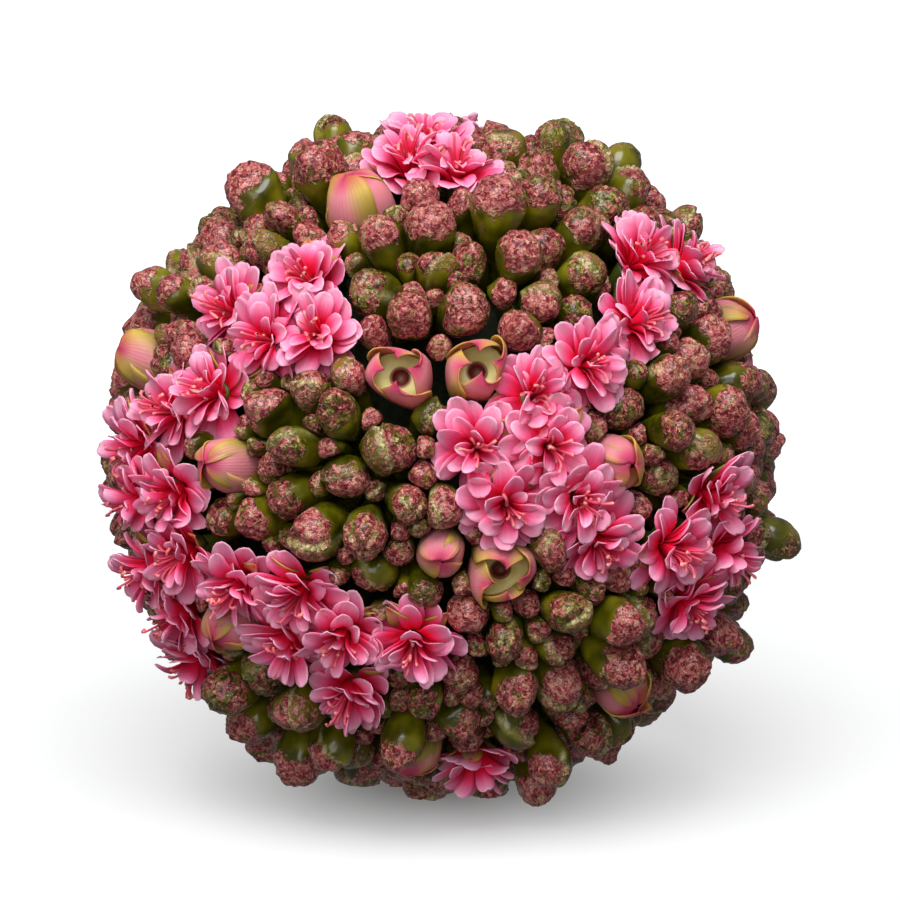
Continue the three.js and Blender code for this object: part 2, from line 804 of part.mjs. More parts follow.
const flowerBall = new THREE.Group();
flowerBall.add(buildBall());

export default flowerBall;
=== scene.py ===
# %% [markdown]
# # A ball of artificial kalanchoe
# The real thing is a florist's decoration. A ball of hard foam is covered all over with
# artificial flowers, each on a pick that is pushed into the foam. There are moulded sprays of
# club-shaped buds, bunches of double pink blossoms, and empty calyx cups.
#
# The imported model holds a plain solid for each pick. This lesson dresses every one of them
# with fine meshes and materials, in the same place and inside the same borders.

# %% Load the frame
import math
import bmesh
import bpy
import numpy as np
from mathutils import Matrix, Vector, noise


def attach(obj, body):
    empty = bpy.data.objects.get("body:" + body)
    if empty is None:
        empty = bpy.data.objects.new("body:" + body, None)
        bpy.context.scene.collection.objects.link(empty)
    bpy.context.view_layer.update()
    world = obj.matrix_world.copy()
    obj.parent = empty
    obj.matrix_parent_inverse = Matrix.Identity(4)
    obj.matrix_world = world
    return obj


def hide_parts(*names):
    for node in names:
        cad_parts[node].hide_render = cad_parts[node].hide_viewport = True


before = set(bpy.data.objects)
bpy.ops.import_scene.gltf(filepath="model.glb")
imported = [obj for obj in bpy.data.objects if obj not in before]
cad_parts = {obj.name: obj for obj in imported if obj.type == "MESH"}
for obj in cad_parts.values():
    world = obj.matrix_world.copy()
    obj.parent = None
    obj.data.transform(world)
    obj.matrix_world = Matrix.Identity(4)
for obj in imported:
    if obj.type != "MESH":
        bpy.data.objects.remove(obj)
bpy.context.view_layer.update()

print("nodes in the frame:", len(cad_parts))

# %% [markdown]
# ## How the ball is shared out
# Florists fill such a ball by eye, and each piece then presses against its neighbours. A
# table of every petal would be long and dead, so a rule places them. Each blossom, cup and
# spray has an axis out of the middle of the ball and a reach in degrees. It owns the
# directions that lie nearest to it when the reach is allowed for. The places below are
# azimuth and elevation, with azimuth 0 at the front and 90 at the right side.

# %% The driving sizes in millimetres, and the places
MM = 0.001
CENTRE_HEIGHT = 67.0
BALL_MIDDLE = np.array((0.0, 0.0, CENTRE_HEIGHT))
FOAM_RADIUS = 45.0
TIP_RADIUS = 69.0
FLORET_REACH = 8.0
FOOT_REACH = 15.0
TURN_AXIS_LEAN = 12.0

BUNCHES = {
    "top": ([(-22, 74), (8, 72), (-45, 86)], []),
    "upper_left": ([(-50, 35), (-37, 31), (-26, 33), (-33, 43)], []),
    "left": ([(-47, 20), (-57, 15), (-65, 8), (-52, 2), (-64, -1)], [((-77, 21), 7.5), ((-41, 8), 6.0)]),
    "lower_left": ([(-51, -9), (-63, -14), (-58, -22), (-62, -32)], []),
    "low": ([(-38, -12), (-25, -12), (-29, -22), (-18, -20)], [((-43, -22), 6.5)]),
    "low_middle": ([(-5, -21), (-19, -33)], []),
    "bottom": ([(11, -55)], [((-8, -52), 7.0)]),
    "centre": ([(19, 14), (6, 14), (11, 4), (24, 4), (17, 22), (28, -3)], [((32, 9), 6.0)]),
    "upper_right": ([(42, 33), (28, 27), (54, 44), (70, 40)], [((80, 26), 7.0)]),
    "right": ([(43, -7), (54, 1), (59, -10), (51, -18)], []),
}
CUPS = {
    "left_of_pair": ((-8, 26), 6.5),
    "right_of_pair": ((7, 27), 6.5),
    "below_centre": ((10.5, -8.2), 6.5),
    "upper_left": ((-34, 62), 8.0),
    "lower_right": ((44, -37), 7.0),
    "middle": ((0, -5), 5.0),
}
SPRAYS = {
    "top_front": ((-4, 45), 15.5),
    "top_right": ((26, 49), 15),
    "top_left": ((-62, 60), 13),
    "upper_left": ((-74, 38), 13),
    "middle": ((-17, 8), 16),
    "left": ((-81, -5), 12.5),
    "lower_left": ((-40, -41), 15),
    "lower_middle": ((21, -23), 15),
    "low_right": ((38, -53), 13),
    "right": ((50, 17), 13.5),
    "lower_right": ((60, -31), 11.5),
    "top_side": ((92, 63), 13),
    "low_middle": ((-4, -38), 10.5),
}
print("bunches, cups, sprays:", len(BUNCHES), len(CUPS), len(SPRAYS))

# %% [markdown]
# Every owner keeps its axis, its pull, which is the axis made longer for a wider reach, and
# two directions across the axis. The far half of the ball repeats the near one after half a
# turn about an upright axis that leans back, so that nothing repeats within one view.

# %% List the owners
def direction(azimuth, elevation):
    a, e = math.radians(azimuth), math.radians(elevation)
    return np.array((math.cos(e) * math.sin(a), -math.cos(e) * math.cos(a), math.sin(e)))


def unit(vector):
    return vector / np.linalg.norm(vector)


STRAIGHT_DOWN = 0.1


def set_axis(owner, axis):
    across = np.cross((0.0, 0.0, 1.0), axis)
    if np.linalg.norm(across) < STRAIGHT_DOWN:
        across = np.array((1.0, 0.0, 0.0))
    owner["axis"] = axis
    owner["across"] = unit(across)
    owner["upward"] = np.cross(axis, owner["across"])


def owner_at(node, kind, axis, reach):
    owner = {"node": node, "kind": kind, "pull": axis / math.cos(math.radians(reach)), "reach": reach}
    set_axis(owner, axis)
    return owner


def near_owners():
    owners = []
    for name, (florets, cups) in BUNCHES.items():
        owners += [owner_at(f"bunch_{name}", "floret", direction(*at), FLORET_REACH) for at in florets]
        owners += [owner_at(f"bunch_{name}", "cup", direction(*at), reach) for at, reach in cups]
    for name, (at, reach) in CUPS.items():
        owners.append(owner_at(f"cup_{name}", "cup", direction(*at), reach))
    for name, (at, reach) in SPRAYS.items():
        owners.append(owner_at(f"spray_{name}", "spray", direction(*at), reach))
    return owners


def behind(owner):
    up = direction(180, 90 - TURN_AXIS_LEAN)
    axis = 2 * up * owner["axis"].dot(up) - owner["axis"]
    return owner_at("far_" + owner["node"], owner["kind"], axis, owner["reach"])


near = near_owners()
far = [behind(owner) for owner in near if owner["node"] != "bunch_bottom"]
foot = owner_at("spray_foot", "spray", direction(0, -90), FOOT_REACH)
owners = near + far + [foot]
FIRST_SEED = 1000
SEED_STEP = 37
for index, owner in enumerate(owners):
    owner["seed"] = FIRST_SEED + SEED_STEP * index
print("owners:", len(owners))

# %% [markdown]
# Even points over the whole ball, set out as the seeds of a sunflower are, are dealt to their
# owners. What each spray is dealt is the ground that its buds stand on. Chance comes from a
# small repeatable generator, so that every run gives the same ball.

# %% Deal out the ball's surface
EVEN_POINTS = 4000
GOLDEN_TURN = math.pi * (3 - math.sqrt(5))
AREA_RADIUS = 66.0
AREA_PER_POINT = 4 * math.pi * AREA_RADIUS**2 / EVEN_POINTS
DRAW_FACTOR = 16807
DRAW_MODULUS = 2**31 - 1


def draws(seed):
    state = seed
    while True:
        state = state * DRAW_FACTOR % DRAW_MODULUS
        yield state / DRAW_MODULUS


def spread(draw, half):
    return (2 * next(draw) - 1) * half


def between(draw, low, high):
    return low + (high - low) * next(draw)


def even_points(count=EVEN_POINTS):
    index = np.arange(count)
    z = 1 - (2 * index + 1) / count
    ring = np.sqrt(1 - z * z)
    return np.stack((ring * np.cos(index * GOLDEN_TURN), ring * np.sin(index * GOLDEN_TURN), z), axis=1)


def deal_out():
    dealt = np.argmax(points @ np.array([owner["pull"] for owner in owners]).T, axis=1)
    for index, owner in enumerate(owners):
        owner["ground"] = points[dealt == index]


points = even_points()
deal_out()
sprays = [owner for owner in owners if owner["kind"] == "spray"]
for spray in sprays:
    set_axis(spray, unit(spray["ground"].sum(axis=0)))
print("ground of the sprays in mm2:", round(sum(len(s["ground"]) for s in sprays) * AREA_PER_POINT))

# %% [markdown]
# Between the reaches there are gaps. On the real ball the nearest spray leans a bud into each
# of them. So the middle of the widest gap gets a bud that owns a small reach of its own, again
# and again, until no gap is wide. The stalk has to get there without entering ground that
# belongs to another piece, otherwise the next nearest spray is tried.

# %% Lean buds into the gaps
LEANING_REACH = 4.2
WIDEST_GAP = 3.1
SPRAYS_TRIED = 3
STALK_ROOM = 1.9
STALK_ROOT_RADIUS, STALK_BEND_RADIUS = 46.5, 56.0
ROOT_SPREAD, BEND_SPREAD = 0.15, 0.6
STALK_PLACES = np.array((0.1, 0.2, 0.3, 0.4, 0.5, 0.6))


def bezier(a, b, c, t):
    t = t[:, None]
    return (1 - t) ** 2 * a + 2 * t * (1 - t) * b + t**2 * c


def club_line(spray, at, tip):
    """The middle line of a club: nearly straight, from the spray's hub to the club's place."""
    def towards(share):
        return unit(spray["axis"] * (1 - share) + at * share)
    return towards(ROOT_SPREAD) * STALK_ROOT_RADIUS, towards(BEND_SPREAD) * STALK_BEND_RADIUS, at * tip


def angles_to(places, axis):
    return np.degrees(np.arccos(np.clip(places @ axis, -1, 1)))


def stalk_is_clear(spray, bud, stalks):
    """Whether the stalk stays on its own spray's ground, and off the stalks of others."""
    line = bezier(*club_line(spray, bud["axis"], TIP_RADIUS), STALK_PLACES)
    own = [owner for owner in owners if owner["node"] == spray["node"]] + [bud]
    others = [owner for owner in owners if owner["node"] != spray["node"]]
    rooms = []
    for mine in own:
        normals = mine["pull"] - np.array([other["pull"] for other in others])
        normals /= np.linalg.norm(normals, axis=1)[:, None]
        rooms.append((line @ normals.T).min(axis=1))
    if np.max(rooms, axis=0).min() < STALK_ROOM:
        return False
    foreign = [points for node, points in stalks if node != spray["node"]]
    return not foreign or min(
        np.linalg.norm(line[:, None] - points[None], axis=2).min() for points in foreign
    ) > 2 * STALK_ROOM


def lean_buds_into_gaps():
    gaps = np.min([angles_to(points, owner["axis"]) - owner["reach"] for owner in owners], axis=0)
    added, stalks = [], []
    while gaps.max() > WIDEST_GAP:
        at = points[np.argmax(gaps)]
        gaps = np.minimum(gaps, angles_to(points, at) - LEANING_REACH)
        for spray in sorted(sprays, key=lambda spray: -at @ spray["axis"])[:SPRAYS_TRIED]:
            bud = owner_at(spray["node"], "bud", at, LEANING_REACH)
            if stalk_is_clear(spray, bud, stalks):
                bud["seed"] = FIRST_SEED + SEED_STEP * len(owners)
                bud["spray"] = spray
                owners.append(bud)
                added.append(bud)
                stalks.append((spray["node"], bezier(*club_line(spray, at, TIP_RADIUS), STALK_PLACES)))
                break
    return added


leaning = lean_buds_into_gaps()
deal_out()
print("buds leant into gaps:", len(leaning))

# %% [markdown]
# ## What presses on what
# The border between two owners is a plane through the middle of the ball. Nothing is cut off
# at a border: a petal or a bud that would cross one is drawn back towards its own middle,
# gently at first and then more, as soft things are that grow or are packed side by side.

# %% Walls, and the press that keeps a point inside them
NEIGHBOUR_GAP = 0.15
LEAST_CLEARANCE = 0.05
LEAST_SPENT = 1e-6
MOST_ROOM = 50.0
PRESS_SHARPNESS = 4


def walls_of(owner, overlap=0.0, beyond=0.0):
    """Normals and offsets. Petals may overlap their own bunch, and reach a little beyond it."""
    normals, offsets = [], []
    for other in owners:
        if other is not owner and other["axis"].dot(owner["axis"]) > 0:
            normals.append(unit(owner["pull"] - other["pull"]))
            offsets.append(-overlap if other["node"] == owner["node"] else -beyond)
    return np.array(normals), np.array(offsets)


def press(points, anchors, walls):
    """Draws points back towards their anchors, which lie inside the walls."""
    normals, offsets = walls
    start = anchors @ normals.T
    spent = start - points @ normals.T
    clear = np.maximum(start - offsets - NEIGHBOUR_GAP, LEAST_CLEARANCE)
    room = np.where(spent > LEAST_SPENT, clear / np.maximum(spent, LEAST_SPENT), np.inf).min(axis=1)
    room = np.minimum(room, MOST_ROOM)
    kept = room / (1 + room**PRESS_SHARPNESS) ** (1 / PRESS_SHARPNESS)
    return anchors + (points - anchors) * kept[:, None]


print("walls round the first blossom:", len(walls_of(owners[0])[0]))

# %% [markdown]
# ## One way to make a mesh
# All the pieces are either skins that run round something, such as a bud, or small sheets,
# such as a petal. Both are a grid of points. So one function turns grids into a mesh, and
# each point can carry marks, which the materials read later: how far along a petal it lies,
# or whether it is on a bud's rim.

# %% Grids into meshes
def grid_faces(rows, columns, closed):
    """The quads of a grid that is closed round its rows, or open like a sheet."""
    quads = columns if closed else columns - 1
    row, column = np.meshgrid(np.arange(rows - 1), np.arange(quads), indexing="ij")
    after = (column + 1) % columns
    low, high = row * columns, (row + 1) * columns
    return np.stack((low + column, low + after, high + after, high + column), axis=-1).reshape(-1, 4)


def piece_from_grids(name, grids, marks):
    """grids: a list of (points of shape rows x columns x 3 in mm, closed, {mark: rows x columns})."""
    points, faces, values, start = [], [], {mark: [] for mark in marks}, 0
    for grid, closed, own in grids:
        rows, columns = grid.shape[:2]
        points.append(grid.reshape(-1, 3))
        faces.append(grid_faces(rows, columns, closed) + start)
        for mark in marks:
            values[mark].append(np.broadcast_to(own.get(mark, 0.0), (rows, columns)).reshape(-1))
        start += rows * columns
    points = np.concatenate(points) + BALL_MIDDLE
    points[:, 2] = np.maximum(points[:, 2], 0)
    points *= MM
    mesh = bpy.data.meshes.new(name)
    mesh.from_pydata(points, [], np.concatenate(faces))
    for mark in marks:
        attribute = mesh.attributes.new(mark, "FLOAT", "POINT")
        attribute.data.foreach_set("value", np.concatenate(values[mark]).astype(np.float32))
    mesh.shade_smooth()
    piece = bpy.data.objects.new(name, mesh)
    bpy.context.collection.objects.link(piece)
    return piece


WELD_DISTANCE = 0.001


def weld_and_face_out(piece):
    """Merges the points that fall together at a tip, and turns the faces outwards."""
    mesh = bmesh.new()
    mesh.from_mesh(piece.data)
    bmesh.ops.remove_doubles(mesh, verts=mesh.verts, dist=WELD_DISTANCE * MM)
    bmesh.ops.recalc_face_normals(mesh, faces=mesh.faces)
    mesh.to_mesh(piece.data)
    mesh.free()


def dress(piece, node, material):
    piece.data.materials.append(material)
    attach(piece, "root")
    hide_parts(node)


def smooth_step(low, high, value):
    share = np.clip((value - low) / (high - low), 0, 1)
    return share * share * (3 - 2 * share)


print("quads of 3 rings of 8 points:", len(grid_faces(3, 8, True)))

# %% [markdown]
# ## Materials from their real names
# A material here starts from what the real surface is and how it was made. Colours are
# ordinary sRGB hex values, which have to become linear before a shader can use them. A
# pattern's scale is worked out from its real size in millimetres.

# %% Helpers for colours, sizes and nodes
def linear(hex_value):
    """An sRGB colour such as 0xef6f96 as a linear RGBA tuple."""
    channels = [((hex_value >> shift) & 255) / 255 for shift in (16, 8, 0)]
    return tuple(c / 12.92 if c <= 0.04045 else ((c + 0.055) / 1.055) ** 2.4 for c in channels) + (1.0,)


def per_mm(size):
    """The scale of a texture whose features are about that many millimetres wide."""
    return 1 / (size * MM)


def new_material(name):
    material = bpy.data.materials.new(name)
    material.use_nodes = True
    material.node_tree.nodes.clear()
    return material


def node(material, kind, inputs=None, stops=(), **settings):
    """Adds a node. An input is a value or an output to link; stops are a ramp's places and colours."""
    made = material.node_tree.nodes.new(kind)
    for name, value in settings.items():
        setattr(made, name, value)
    for name, value in (inputs or {}).items():
        if isinstance(value, bpy.types.NodeSocket):
            material.node_tree.links.new(value, made.inputs[name])
        else:
            made.inputs[name].default_value = value
    if stops:
        elements = made.color_ramp.elements
        while len(elements) < len(stops):
            elements.new(0.5)
        for element, (position, _) in zip(elements, stops):
            element.position = position
        for element, (_, colour) in zip(elements, stops):
            element.color = linear(colour)
    return made


def finish(material, shader):
    node(material, "ShaderNodeOutputMaterial", {"Surface": shader.outputs["BSDF"]})


print("pure white in linear:", linear(0xffffff))

# %% [markdown]
# ### Soft PVC for the buds
# The buds are moulded in soft PVC: olive green right through, glossy, and a little
# translucent. The head's surface is crinkled like foil, in cells of little more than a
# millimetre across. The borders of the cells wander, so that no ridge runs straight. The
# material is built up in steps, and the crinkles come first, because paint and relief both
# follow them. A texture's place is the place on the ball in metres, as every piece's object
# sits at the frame's origin.

# %% The crinkles
CRINKLE = 1.15
CRINKLE_WANDERS = 1.2
RIDGE = 0.11
RIDGE_TOP = 0.2


def crinkles(material, where):
    """1 on the ridges between the crinkles, and 0 inside them."""
    drift = node(
        material, "ShaderNodeTexNoise", {"Vector": where, "Scale": per_mm(CRINKLE), "Detail": 2.0}
    ).outputs["Color"]
    centred = node(
        material, "ShaderNodeVectorMath", {0: drift, 1: (0.5, 0.5, 0.5)}, operation="SUBTRACT"
    ).outputs[0]
    moved = node(
        material, "ShaderNodeVectorMath", {0: centred, "Scale": CRINKLE_WANDERS * MM}, operation="SCALE"
    ).outputs[0]
    wandering = node(material, "ShaderNodeVectorMath", {0: where, 1: moved}, operation="ADD").outputs[0]
    to_border = node(
        material, "ShaderNodeTexVoronoi", {"Vector": wandering, "Scale": per_mm(CRINKLE)},
        feature="DISTANCE_TO_EDGE",
    ).outputs["Distance"]
    return node(material, "ShaderNodeMapRange", {
        "Value": to_border, "From Min": RIDGE, "From Max": RIDGE_TOP * RIDGE,
    }).outputs["Result"]


print("ridges in mm, about:", round(CRINKLE * RIDGE, 2))

# %% [markdown]
# Each head is dabbed with dusty rose, in soft patches down to maroon, and in some patches the
# ridges get a pale painted highlight. In places the dabbing missed, and the green shows through.

# %% The paint on a head
MISSED_PATCH = 2.8
PALER_BY_TINT, GREENER_BY_TINT = 0.05, 0.08
HIGHLIGHT_PATCH_FROM, HIGHLIGHT_PATCH_TO = 0.46, 0.60
MISSED_FROM, MISSED_TO, MOST_MISSED = 0.53, 0.63, 0.9
# The pale ridge colour is a painted highlight, for the glints along the crinkles.
RIDGE_HIGHLIGHT = 0xd6b08a
ROSE = [(0.34, 0x501418), (0.44, 0x822a30), (0.52, 0xa6464c), (0.60, 0xc06466), (0.72, 0xd69088)]
HEAD_GREEN = [(0.34, 0x2a2c02), (0.5, 0x56560c), (0.62, 0x82822a), (0.74, 0xb8ba6c)]


def dabbed_head(material, where, patches, ridge):
    tint = node(material, "ShaderNodeAttribute", attribute_name="tint").outputs["Fac"]
    paler = node(
        material, "ShaderNodeMath", {0: tint, 1: PALER_BY_TINT, 2: patches}, operation="MULTIPLY_ADD"
    ).outputs[0]
    paint = node(material, "ShaderNodeValToRGB", {"Fac": paler}, stops=ROSE).outputs["Color"]
    # Where the painted highlight lies: on the ridges, in some of the patches.
    highlight_patches = node(material, "ShaderNodeMapRange", {
        "Value": patches, "From Min": HIGHLIGHT_PATCH_FROM, "From Max": HIGHLIGHT_PATCH_TO,
    }).outputs["Result"]
    ridge_highlight_mask = node(material, "ShaderNodeMath", {0: ridge, 1: highlight_patches}, operation="MULTIPLY").outputs[0]
    crinkled = node(
        material, "ShaderNodeMix", {0: ridge_highlight_mask, 6: paint, 7: linear(RIDGE_HIGHLIGHT)}, data_type="RGBA"
    ).outputs[2]
    flecks = node(material, "ShaderNodeTexNoise", {
        "Vector": where, "Scale": per_mm(MISSED_PATCH),
        "Detail": 3.0, "Roughness": 0.6, "Distortion": 1.0,
    }).outputs["Fac"]
    greener = node(
        material, "ShaderNodeMath", {0: tint, 1: -GREENER_BY_TINT, 2: flecks}, operation="MULTIPLY_ADD"
    ).outputs[0]
    missed = node(material, "ShaderNodeMapRange", {
        "Value": greener, "From Min": MISSED_FROM, "From Max": MISSED_TO, "To Max": MOST_MISSED,
    }).outputs["Result"]
    green = node(material, "ShaderNodeValToRGB", {"Fac": patches}, stops=HEAD_GREEN).outputs["Color"]
    return node(
        material, "ShaderNodeMix", {0: missed, 6: crinkled, 7: green}, data_type="RGBA"
    ).outputs[2]


print("colours of the paint:", len(ROSE))

# %% [markdown]
# Below the paint's ragged edge the stalk is bare olive. The rim of a hood stays pale green. The
# ridges stand up from the head, with finer wrinkles between them, and the coat of gloss lies
# over all of it.

# %% The moulded bud material
PAINT_PATCH = 1.05
FINE_WRINKLE = 0.8
WRINKLE_SHARE = 1.2
RELIEF = 0.28
RAGGED_BY = 0.9
PAINTED_FROM, PAINTED_TO = 0.80, 1.02
STALK_CLOUD = 6.0
STALK_OLIVE = [(0.32, 0x2c2c00), (0.5, 0x525004), (0.66, 0x766e0e)]
PALE_RIM = [(0.35, 0x80803c), (0.5, 0xb0a868), (0.62, 0xd8cc9c)]


def bud_pvc():
    material = new_material("soft_pvc_moulded_and_dabbed")
    where = node(material, "ShaderNodeTexCoord").outputs["Object"]
    cap, lip = (
        node(material, "ShaderNodeAttribute", attribute_name=mark).outputs["Fac"]
        for mark in ("cap", "lip")
    )
    patches = node(material, "ShaderNodeTexNoise", {
        "Vector": where, "Scale": per_mm(PAINT_PATCH),
        "Detail": 3.0, "Roughness": 0.6, "Distortion": 0.8,
    }).outputs["Fac"]
    ridge = crinkles(material, where)
    head = dabbed_head(material, where, patches, ridge)
    clouds = node(
        material, "ShaderNodeTexNoise", {"Vector": where, "Scale": per_mm(STALK_CLOUD), "Detail": 2.0}
    ).outputs["Fac"]
    stalk = node(material, "ShaderNodeValToRGB", {"Fac": clouds}, stops=STALK_OLIVE).outputs["Color"]
    ragged = node(
        material, "ShaderNodeMath", {0: patches, 1: RAGGED_BY, 2: cap}, operation="MULTIPLY_ADD"
    ).outputs[0]
    painted = node(material, "ShaderNodeMapRange", {
        "Value": ragged, "From Min": PAINTED_FROM, "From Max": PAINTED_TO,
    }).outputs["Result"]
    rim = node(material, "ShaderNodeValToRGB", {"Fac": patches}, stops=PALE_RIM).outputs["Color"]
    body = node(material, "ShaderNodeMix", {0: painted, 6: stalk, 7: head}, data_type="RGBA").outputs[2]
    colour = node(material, "ShaderNodeMix", {0: lip, 6: body, 7: rim}, data_type="RGBA").outputs[2]
    wrinkles = node(material, "ShaderNodeTexNoise", {
        "Vector": where, "Scale": per_mm(FINE_WRINKLE),
        "Detail": 2.0, "Roughness": 0.6, "Distortion": 0.6,
    }).outputs["Fac"]
    rough_top = node(
        material, "ShaderNodeMath", {0: wrinkles, 1: WRINKLE_SHARE, 2: ridge}, operation="MULTIPLY_ADD"
    ).outputs[0]
    relief = node(
        material, "ShaderNodeMath", {0: rough_top, 1: painted}, operation="MULTIPLY"
    ).outputs[0]
    bump = node(material, "ShaderNodeBump", {"Height": relief, "Strength": 1.0, "Distance": RELIEF * MM})
    shader = node(material, "ShaderNodeBsdfPrincipled", {
        "Base Color": colour, "Roughness": 0.26, "IOR": 1.42, "Normal": bump.outputs["Normal"],
        "Subsurface Weight": 0.05, "Subsurface Radius": (1.0, 0.6, 0.3), "Subsurface Scale": 1.0 * MM,
        "Coat Weight": 0.2, "Coat Roughness": 0.08,
    })
    finish(material, shader)
    return material


BUD_PVC = bud_pvc()
print("made", BUD_PVC.name)

# %% [markdown]
# ## The bud sprays
# A spray is one moulding: a pick, a hub on the foam, and a dozen or more clubs that lean
# outwards from it. Their heads stand shoulder to shoulder. The large ones stand on the spray's
# own ground, spread as evenly as it allows, or lean into the gaps around it. The solids hold
# clubs like these, only fewer.

# %% Where the large clubs stand
AREA_PER_BUD = 140.0
SETTLING_PASSES = 5
HEAD_RADIUS, HEAD_VARIATION = 4.6, 0.9
TIP_LOWER, TIP_HIGHER = 2.6, 4.6
FOOT_SINK = 0.6
HEAD_AT = 0.8
LEANING_PRESSED_FROM = 0.45


def farthest(ground, places):
    return ground[np.argmin((ground @ np.array(places).T).max(axis=1))]


def main_places(spray):
    ground = spray["ground"]
    count = round(len(ground) * AREA_PER_POINT / AREA_PER_BUD)
    places = [ground[np.argmax(ground @ spray["axis"])]]
    while len(places) < count:
        places.append(farthest(ground, places))
    for _ in range(SETTLING_PASSES):
        shares = np.argmax(ground @ np.array(places).T, axis=1)
        places = [unit(ground[shares == index].sum(axis=0)) for index in range(count)]
    return places


def club(spray, at, draw):
    tip = TIP_RADIUS + between(draw, -TIP_LOWER, TIP_HIGHER)
    if at[2] * tip < -CENTRE_HEIGHT:
        tip = (CENTRE_HEIGHT + FOOT_SINK) / -at[2]
    head = HEAD_RADIUS + spread(draw, HEAD_VARIATION)
    roll = next(draw) * 2 * math.pi
    line = club_line(spray, at, tip)
    centre = bezier(*line, np.array([HEAD_AT]))[0]
    return {"spray": spray, "line": line, "centre": centre, "head": head, "roll": roll, "fine": True}


def large_clubs():
    clubs = []
    for spray in sprays:
        draw = draws(spray["seed"])
        walls = walls_of(spray)
        for at in main_places(spray):
            clubs.append({**club(spray, at, draw), "walls": walls, "pressed_from": 0.0})
    for bud in leaning:
        draw = draws(bud["seed"])
        one = club(bud["spray"], bud["axis"], draw)
        clubs.append({**one, "walls": walls_of(bud), "pressed_from": LEANING_PRESSED_FROM})
    return clubs


clubs = large_clubs()
print("large clubs:", len(clubs))

# %% [markdown]
# Smaller clubs fill what is still open, as they do on the real thing. Every head, blossom and
# cup covers a circle of the ball, and the middle of the widest opening gets a club that is as
# large as it has room for, again and again, until only slits are left.

# %% Fill the openings with smaller clubs
FILL_POINTS = 16000
NARROWEST = 1.0
LEAST_FILL, WIDEST_FILL = 2.4, 4.0
FILL_PRESS = 0.6
FILL_PRESSED_FROM = 0.5
BLOSSOM_COVERS, CUP_COVERS = 6.2, 0.88
FILL_TIP, FILL_TIP_VARIATION = 61.5, 2.0
FILL_ROOT_RADIUS, FILL_BEND_RADIUS = 44.5, 55.0
FILL_LEAN, LEAN_AT_BEND = 0.16, 0.4
NEAR_COSINE = 0.9


def filling_line(spray, at, tip):
    """Up from under the large clubs, leaning away from the spray's middle."""
    away = at - spray["axis"]
    lean = min(1.0, FILL_LEAN / np.linalg.norm(away)) if at is not spray["axis"] else 0.0
    root = unit(at - away * lean) * FILL_ROOT_RADIUS
    bend = unit(at - away * lean * LEAN_AT_BEND) * FILL_BEND_RADIUS
    return root, bend, at * tip


def circles():
    """The axis and the angular radius of everything that already covers some of the ball."""
    found = []
    for one in clubs:
        found.append((unit(one["centre"]), math.degrees(one["head"] / np.linalg.norm(one["centre"]))))
    found += [(owner["axis"], BLOSSOM_COVERS) for owner in owners if owner["kind"] == "floret"]
    found += [(owner["axis"], CUP_COVERS * owner["reach"]) for owner in owners if owner["kind"] == "cup"]
    return found


def walls_round(axis, reach, others):
    """Planes through the middle of the ball between a circle and its neighbours."""
    near = [(a, r) for a, r in others if a @ axis > NEAR_COSINE]
    pull = axis / math.cos(math.radians(reach))
    normals = [unit(pull - a / math.cos(math.radians(r))) for a, r in near]
    return np.array(normals), np.zeros(len(normals))


def fill_openings():
    places = even_points(FILL_POINTS)
    covered = circles()
    gaps = np.min([angles_to(places, axis) - reach for axis, reach in covered], axis=0)
    draw = draws(FIRST_SEED)
    found = []
    while gaps.max() > NARROWEST:
        at = places[np.argmax(gaps)]
        reach = min(max(gaps.max() + FILL_PRESS, LEAST_FILL), WIDEST_FILL)
        gaps = np.minimum(gaps, angles_to(places, at) - reach)
        head = math.radians(reach) * AREA_RADIUS
        tip = FILL_TIP + head + spread(draw, FILL_TIP_VARIATION)
        if at[2] * tip < -CENTRE_HEIGHT:
            tip = CENTRE_HEIGHT / -at[2]
        spray = max(sprays, key=lambda spray: at @ spray["axis"])
        found.append({
            "spray": spray, "line": filling_line(spray, at, tip), "centre": at * (tip - head),
            "head": head, "roll": next(draw) * 2 * math.pi, "walls": walls_round(at, reach, covered),
            "pressed_from": FILL_PRESSED_FROM, "fine": False,
        })
        covered.append((at, reach))
    return found


fillers = fill_openings()
print("smaller clubs:", len(fillers))

# %% [markdown]
# Each club is a skin round a curved middle line. Its radius follows a club's outline: a slim
# stalk, a long swelling and a dome. No two heads are alike, so there are kinds, drawn by
# chance: crumpled ones, lumpy ones, ones with a hood that folds over from one side, and ones
# that are about to split into four. The lumps are geometry, because they show in the outline.

# %% The outline of a club
STALK_RADIUS, STALK_TO_HEAD = 1.5, 0.4
DOME_FULLNESS = 2.2
DOME_DEPTH = 1.15
SWELL_LENGTH, SWELL_SHARPNESS = 17.0, 1.3
LEAST_STALK = 0.08
FINE_CLUB = {"sides": 26, "stalk": 3, "swell": 7, "dome": 11}
SMALL_CLUB = {"sides": 16, "stalk": 2, "swell": 3, "dome": 7}


def club_outline(steps, length, head):
    """How far along each ring lies, its share of the head's radius, and the dome's angle there."""
    dome_from = 1 - DOME_DEPTH * head / length
    swell_from = max(LEAST_STALK, dome_from - SWELL_LENGTH / length)
    stalk = np.linspace(0, swell_from, steps["stalk"])
    swell = np.linspace(swell_from, dome_from, steps["swell"] + 1)[1:]
    angle = np.linspace(0, math.pi / 2, steps["dome"] + 1)[1:]
    across = np.sin(angle)
    dome = (1 - across**DOME_FULLNESS) ** (1 / DOME_FULLNESS)
    along = np.concatenate((stalk, swell, dome_from + (1 - dome_from) * across))
    swelling = smooth_step(0, 1, (swell - swell_from) / (dome_from - swell_from)) ** SWELL_SHARPNESS
    share = np.concatenate((np.zeros(len(stalk)), swelling, dome))
    tilt = np.concatenate((np.zeros(len(stalk) + len(swell)), angle))
    return along, share, tilt, dome_from


def rough(points, size, shift):
    """Smooth noise from about -1 to 1, with features of that size in mm."""
    flat = points.reshape(-1, 3) / size + shift
    return np.array([noise.noise(Vector(p)) for p in flat]).reshape(points.shape[:2])


